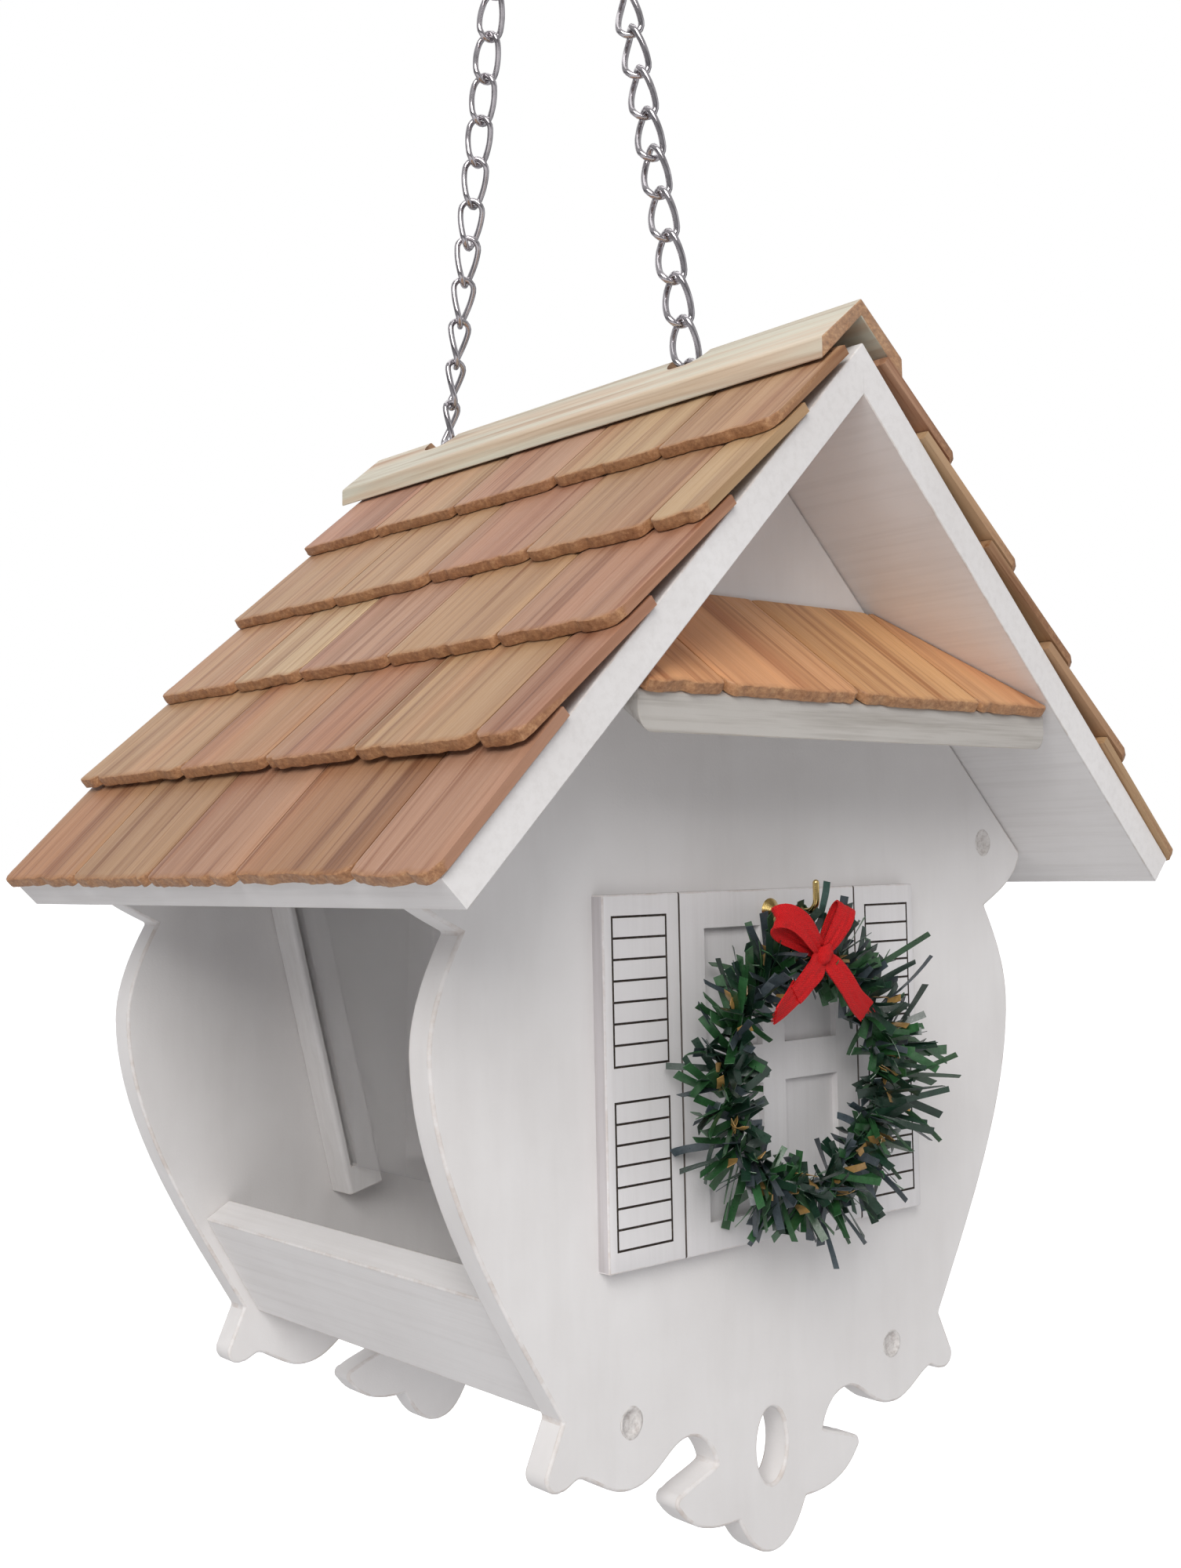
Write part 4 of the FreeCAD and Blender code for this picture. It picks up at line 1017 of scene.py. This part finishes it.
wreath_greenery()
twisted_ring("wreath_core_wire", [], WREATH, CORE, 0.55, 0.55, 26, 240)
loop_low, loop_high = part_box("wreath_loop")
loop_middle = ((loop_low + loop_high) / 2 - HOUSE) / MM
twisted_ring("wreath_loop_wire", ["wreath_loop"], loop_middle, 2.6, 0.27, 0.25, 9, 120)

# ---------------- bow

KNOT = Vector((-4.8, -86.0, 149.2))
RIBBON = 5.8  # its width
# Lengths of ribbon: offsets from the knot, the width's direction at the start, middle and end, whether it is
# gathered at its start and at its end, the steps along it, and the threads frayed at its end.
BOW = [
    ([(0, 0, 0), (-3.8, -1.6, 3.2), (-8.6, -2.2, 7.4), (-13.2, -1.6, 9.6), (-15.4, 0.0, 8.6),
      (-13, 1.2, 6.4), (-7, 1.4, 3.6), (0, 0.8, 0)],
     ((0.66, 0, 0.75), (0.35, -0.1, 0.93), (0.5, 0, 0.86)), (True, True), 36, 0),
    ([(0, 0, 0), (2.6, -1.6, 3.4), (5.6, -2.2, 7.6), (8.0, -1.4, 10.6), (9.0, 0.2, 11.2),
      (8.0, 1.2, 9.6), (4.6, 1.4, 5), (0, 0.8, 0)],
     ((0.8, 0, -0.6), (0.9, -0.1, -0.4), (0.8, 0, -0.6)), (True, True), 36, 0),
    ([(0, 0, 0), (-3, -1.6, -2.6), (-6.5, -1.6, -5.8), (-10.4, -1.0, -9.2)],
     ((0.66, 0, -0.75), (0.72, 0, -0.7), (0.9, 0.1, -0.4)), (True, False), 28, 0),
    ([(-9.0, -0.4, -8.0), (-13.5, -1.2, -10.8), (-18.2, -1.6, -13.4)],
     ((0.7, 0.1, -0.7), (0.5, 0.3, -0.8), (0.25, 0.45, -0.6)), (False, False), 14, 9),
    ([(0, 0, 0), (3, -1.8, -3.4), (7.5, -1.8, -8.2), (12, -0.8, -12.2), (16.8, 0.6, -15.0)],
     ((0.75, 0, 0.66), (0.78, 0, 0.62), (0.95, 0, 0.2)), (True, False), 28, 12),
]


def through(points, count):
    """Points along a smooth curve that passes through the given ones."""
    knots = [2 * points[0] - points[1], *points, 2 * points[-1] - points[-2]]
    spots = []
    for k in range(count + 1):
        place = k / count * (len(points) - 1)
        index = min(int(place), len(points) - 2)
        t = place - index
        a, b, c, d = knots[index : index + 4]
        bend = (2 * a - 5 * b + 4 * c - d) * t**2 + (3 * b - a - 3 * c + d) * t**3
        spots.append(0.5 * (2 * b + (c - a) * t + bend))
    return spots


def column_of(index, columns):
    """The column, counted across the ribbon, of a vertex in a strip's row."""
    return index if index <= columns else 2 * columns + 1 - index


def frayed_threads(bm, layer, spine, side, threads):
    """Loose threads at the cut end of a ribbon."""
    rng = random.Random(threads)
    heading = (spine[-1] - spine[-3]).normalized()
    for _ in range(threads):
        start = spine[-1] + side * rng.uniform(-0.46, 0.46) * RIBBON - heading * 0.3
        end = start + heading * rng.uniform(0.8, 2.2) + side * rng.uniform(-0.5, 0.5)
        middle = (start + end) / 2 + Vector((0, rng.uniform(-0.3, 0.3), 0))
        for v in tube(bm, [at(*p) for p in (start, middle, end)], 0.07 * MM, 5):
            v[layer] = v.co.copy()


def ribbon(bm, offsets, across, gathered, count, threads):
    """A length of woven ribbon, narrowed and pleated where it is gathered."""
    columns = 10
    spine = through([KNOT + Vector(p) for p in offsets], count)
    first, halfway, last = (Vector(d) for d in across)
    widths = []
    for k in range(count + 1):
        t = 2 * k / count
        widths.append(first.lerp(halfway, t) if t < 1 else halfway.lerp(last, t - 1))

    def wide(share):
        near = min(1.0, share / 0.3) if gathered[0] else 1.0
        far = min(1.0, (1 - share) / 0.3) if gathered[1] else 1.0
        return RIBBON * MM * (0.5 + 0.5 * math.sin(min(near, far) * math.pi / 2))

    rows = strip(bm, [at(*p) for p in spine], widths, wide, 0.42 * MM, columns)
    layer = bm.verts.layers.float_vector["weave"]
    length = sum((b - a).length for a, b in zip(spine, spine[1:]))
    for i, row in enumerate(rows):
        gather = 1.0 - 0.8 * wide(i / count) / (RIBBON * MM)
        for k, v in enumerate(row):
            place = column_of(k, columns)
            v[layer] = Vector(((place / columns - 0.5) * RIBBON, length * i / count, 0.0)) * MM
            ripple = 0.12 * math.sin(place * 1.1) * math.cos(i * 0.5)
            v.co.y += (ripple + gather * 0.7 * math.sin(place * 1.9)) * MM
    frayed_threads(bm, layer, spine, widths[-1].normalized(), threads)


def wrapped_knot(bm):
    """The short wrap of ribbon round the middle of the bow, rounded off towards its edges."""
    steps, columns = 24, 8
    spine = []
    for k in range(steps + 1):
        a = math.radians(-195 + 390 * k / steps)
        wrap = Vector((2.5 * math.sin(a), -0.4 - 2.1 * math.cos(a) - 0.004 * k, 0.5 * math.sin(a)))
        spine.append(at(*(KNOT + wrap)))
    rows = strip(bm, spine, [Vector((0.25, 0, 1))] * len(spine), 4.4 * MM, 0.45 * MM, columns)
    layer = bm.verts.layers.float_vector["weave"]
    middle = at(*KNOT)
    for i, row in enumerate(rows):
        for k, v in enumerate(row):
            place = column_of(k, columns)
            v[layer] = Vector((place * 0.6, i * 0.9, 0)) * MM
            round_off = 1.0 - 0.32 * abs(place / (columns / 2) - 1) ** 2
            round_off += 0.05 * math.sin(place * 2.1 + i * 0.4)
            v.co.x = middle.x + (v.co.x - middle.x) * round_off
            v.co.y = middle.y + (v.co.y - middle.y) * round_off


def hook_tie():
    """A strip of film caught on the brass hook's upturned end."""
    bm = bmesh.new()
    bm.verts.layers.float_color.new("tint")
    low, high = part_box("wreath_hook")
    tip = Vector((0, (low.y - HOUSE.y) / MM + 0.8, (high.z - HOUSE.z) / MM))
    offsets = ((3.4, -0.6, -0.6), (1.3, -1.9, -3.4), (-0.2, -2.2, -6.6), (-0.6, -1.6, -9.4))
    spine = through([tip + Vector(p) for p in offsets], 12)
    tinted_strip(bm, spine, [Vector((0.9, -0.3, 0.25))] * len(spine), 1.7, (0.02, 0.06, 0.05))
    built("hook_tie_strip", bm, ["film"], "house", "greenery", [], 40)


bm = bmesh.new()
bm.verts.layers.float_vector.new("weave")
for piece in BOW:
    ribbon(bm, *piece)
wrapped_knot(bm)
built("ribbon_bow_woven", bm, ["ribbon"], "wreath", "red_ribbon", ["ribbon_bow"], 70)
hook_tie()

# ---------------- stage, lights and camera

FLOOR_LOW, FLOOR_HALF = -330, 90  # house mm under the drops' tips, and metres
TARGET = at(0, 0, 160)
# name, place from the target in metres, size in metres, watts, colour
LIGHTS = [
    ("key", (-1.5, -1.3, 1.25), 1.5, 41, (1.0, 0.985, 0.97)),
    ("fill", (1.5, -1.6, 0.2), 1.6, 3.5, (0.97, 0.98, 1.0)),
    ("top", (0.2, 0.4, 1.9), 1.8, 10, (1, 1, 1)),
    ("back", (0.6, 1.9, 0.7), 1.6, 5, (1, 1, 1)),
]
# The camera as solved from the photograph's perspective: degrees, metres, and mm on a sensor 36 mm high
YAW, PITCH, ROLL = -40.79571, 2.553825, -1.154563
EYE = Vector((-0.3186495, -0.3802001, -0.44762))
SENSOR, LENS = 36, 39.725028


def stage():
    """A floor that is white to the camera and pale grey to the light."""
    z = at(0, 0, FLOOR_LOW).z
    corners = [(x * FLOOR_HALF, y * FLOOR_HALF, z) for x, y in ((-1, -1), (1, -1), (1, 1), (-1, 1))]
    mesh = bpy.data.meshes.new("pale_floor")
    mesh.from_pydata(corners, [], [(0, 1, 2, 3)])
    s = Shader("pale_floor")
    seen = s.node("LightPath").outputs["Is Camera Ray"]
    s.set(Base_Color=(0.62, 0.62, 0.63, 1), Roughness=0.9)
    s.set(Emission_Color=(1, 1, 1, 1), Emission_Strength=seen)
    mesh.materials.append(s.mat)
    placed("pale_floor", mesh)


def softbox(name, offset, size, energy, tint):
    light = bpy.data.lights.new(name, "AREA")
    light.shape = "SQUARE"
    light.size = size
    light.energy = energy
    light.color = tint
    lamp = placed(name, light)
    lamp.location = TARGET + Vector(offset)
    lamp.rotation_euler = (-Vector(offset)).to_track_quat("-Z", "Y").to_euler()


def sky():
    """White to the camera; soft and darker low down for everything that reflects it."""
    world = bpy.data.worlds.new("studio")
    bpy.context.scene.world = world
    world.use_nodes = True
    tree = world.node_tree
    tree.nodes.clear()
    out, plain, shaded, coords, parts, spread, ramp, path, mix = (
        tree.nodes.new("ShaderNode" + kind)
        for kind in ("OutputWorld", "Background", "Background", "TexCoord", "SeparateXYZ", "MapRange",
                     "ValToRGB", "LightPath", "MixShader")
    )
    plain.inputs["Color"].default_value = (1, 1, 1, 1)
    shaded.inputs["Strength"].default_value = 0.5
    spread.inputs["From Min"].default_value = -1
    low, high = ramp.color_ramp.elements
    low.position, low.color = 0.44, (0.045, 0.045, 0.055, 1)
    high.position, high.color = 0.68, (0.95, 0.95, 0.97, 1)
    for source, socket in (
        (coords.outputs["Generated"], parts.inputs[0]),
        (parts.outputs["Z"], spread.inputs["Value"]),
        (spread.outputs[0], ramp.inputs["Fac"]),
        (ramp.outputs["Color"], shaded.inputs["Color"]),
        (path.outputs["Is Camera Ray"], mix.inputs[0]),
        (shaded.outputs[0], mix.inputs[1]),
        (plain.outputs[0], mix.inputs[2]),
        (mix.outputs[0], out.inputs[0]),
    ):
        tree.links.new(source, socket)


def camera():
    yaw, pitch, roll = (math.radians(a) for a in (YAW, PITCH, ROLL))
    forward = Vector((-math.sin(yaw) * math.cos(pitch), math.cos(yaw) * math.cos(pitch), math.sin(pitch)))
    level = forward.cross(Vector((0, 0, 1))).normalized()
    upright = level.cross(forward)
    right = level * math.cos(roll) + upright * math.sin(roll)
    up = upright * math.cos(roll) - level * math.sin(roll)
    data = bpy.data.cameras.new("camera")
    data.sensor_width = SENSOR
    data.sensor_fit = "VERTICAL"
    data.sensor_height = SENSOR
    data.lens = LENS
    data.clip_start = 0.01
    eye = placed("camera", data)
    turn = Matrix((right, up, -forward)).transposed().to_4x4()
    eye.matrix_world = Matrix.Translation(EYE) @ turn
    bpy.context.scene.camera = eye


stage()
for light in LIGHTS:
    softbox(*light)
sky()
camera()
bpy.context.scene.view_settings.view_transform = "Standard"
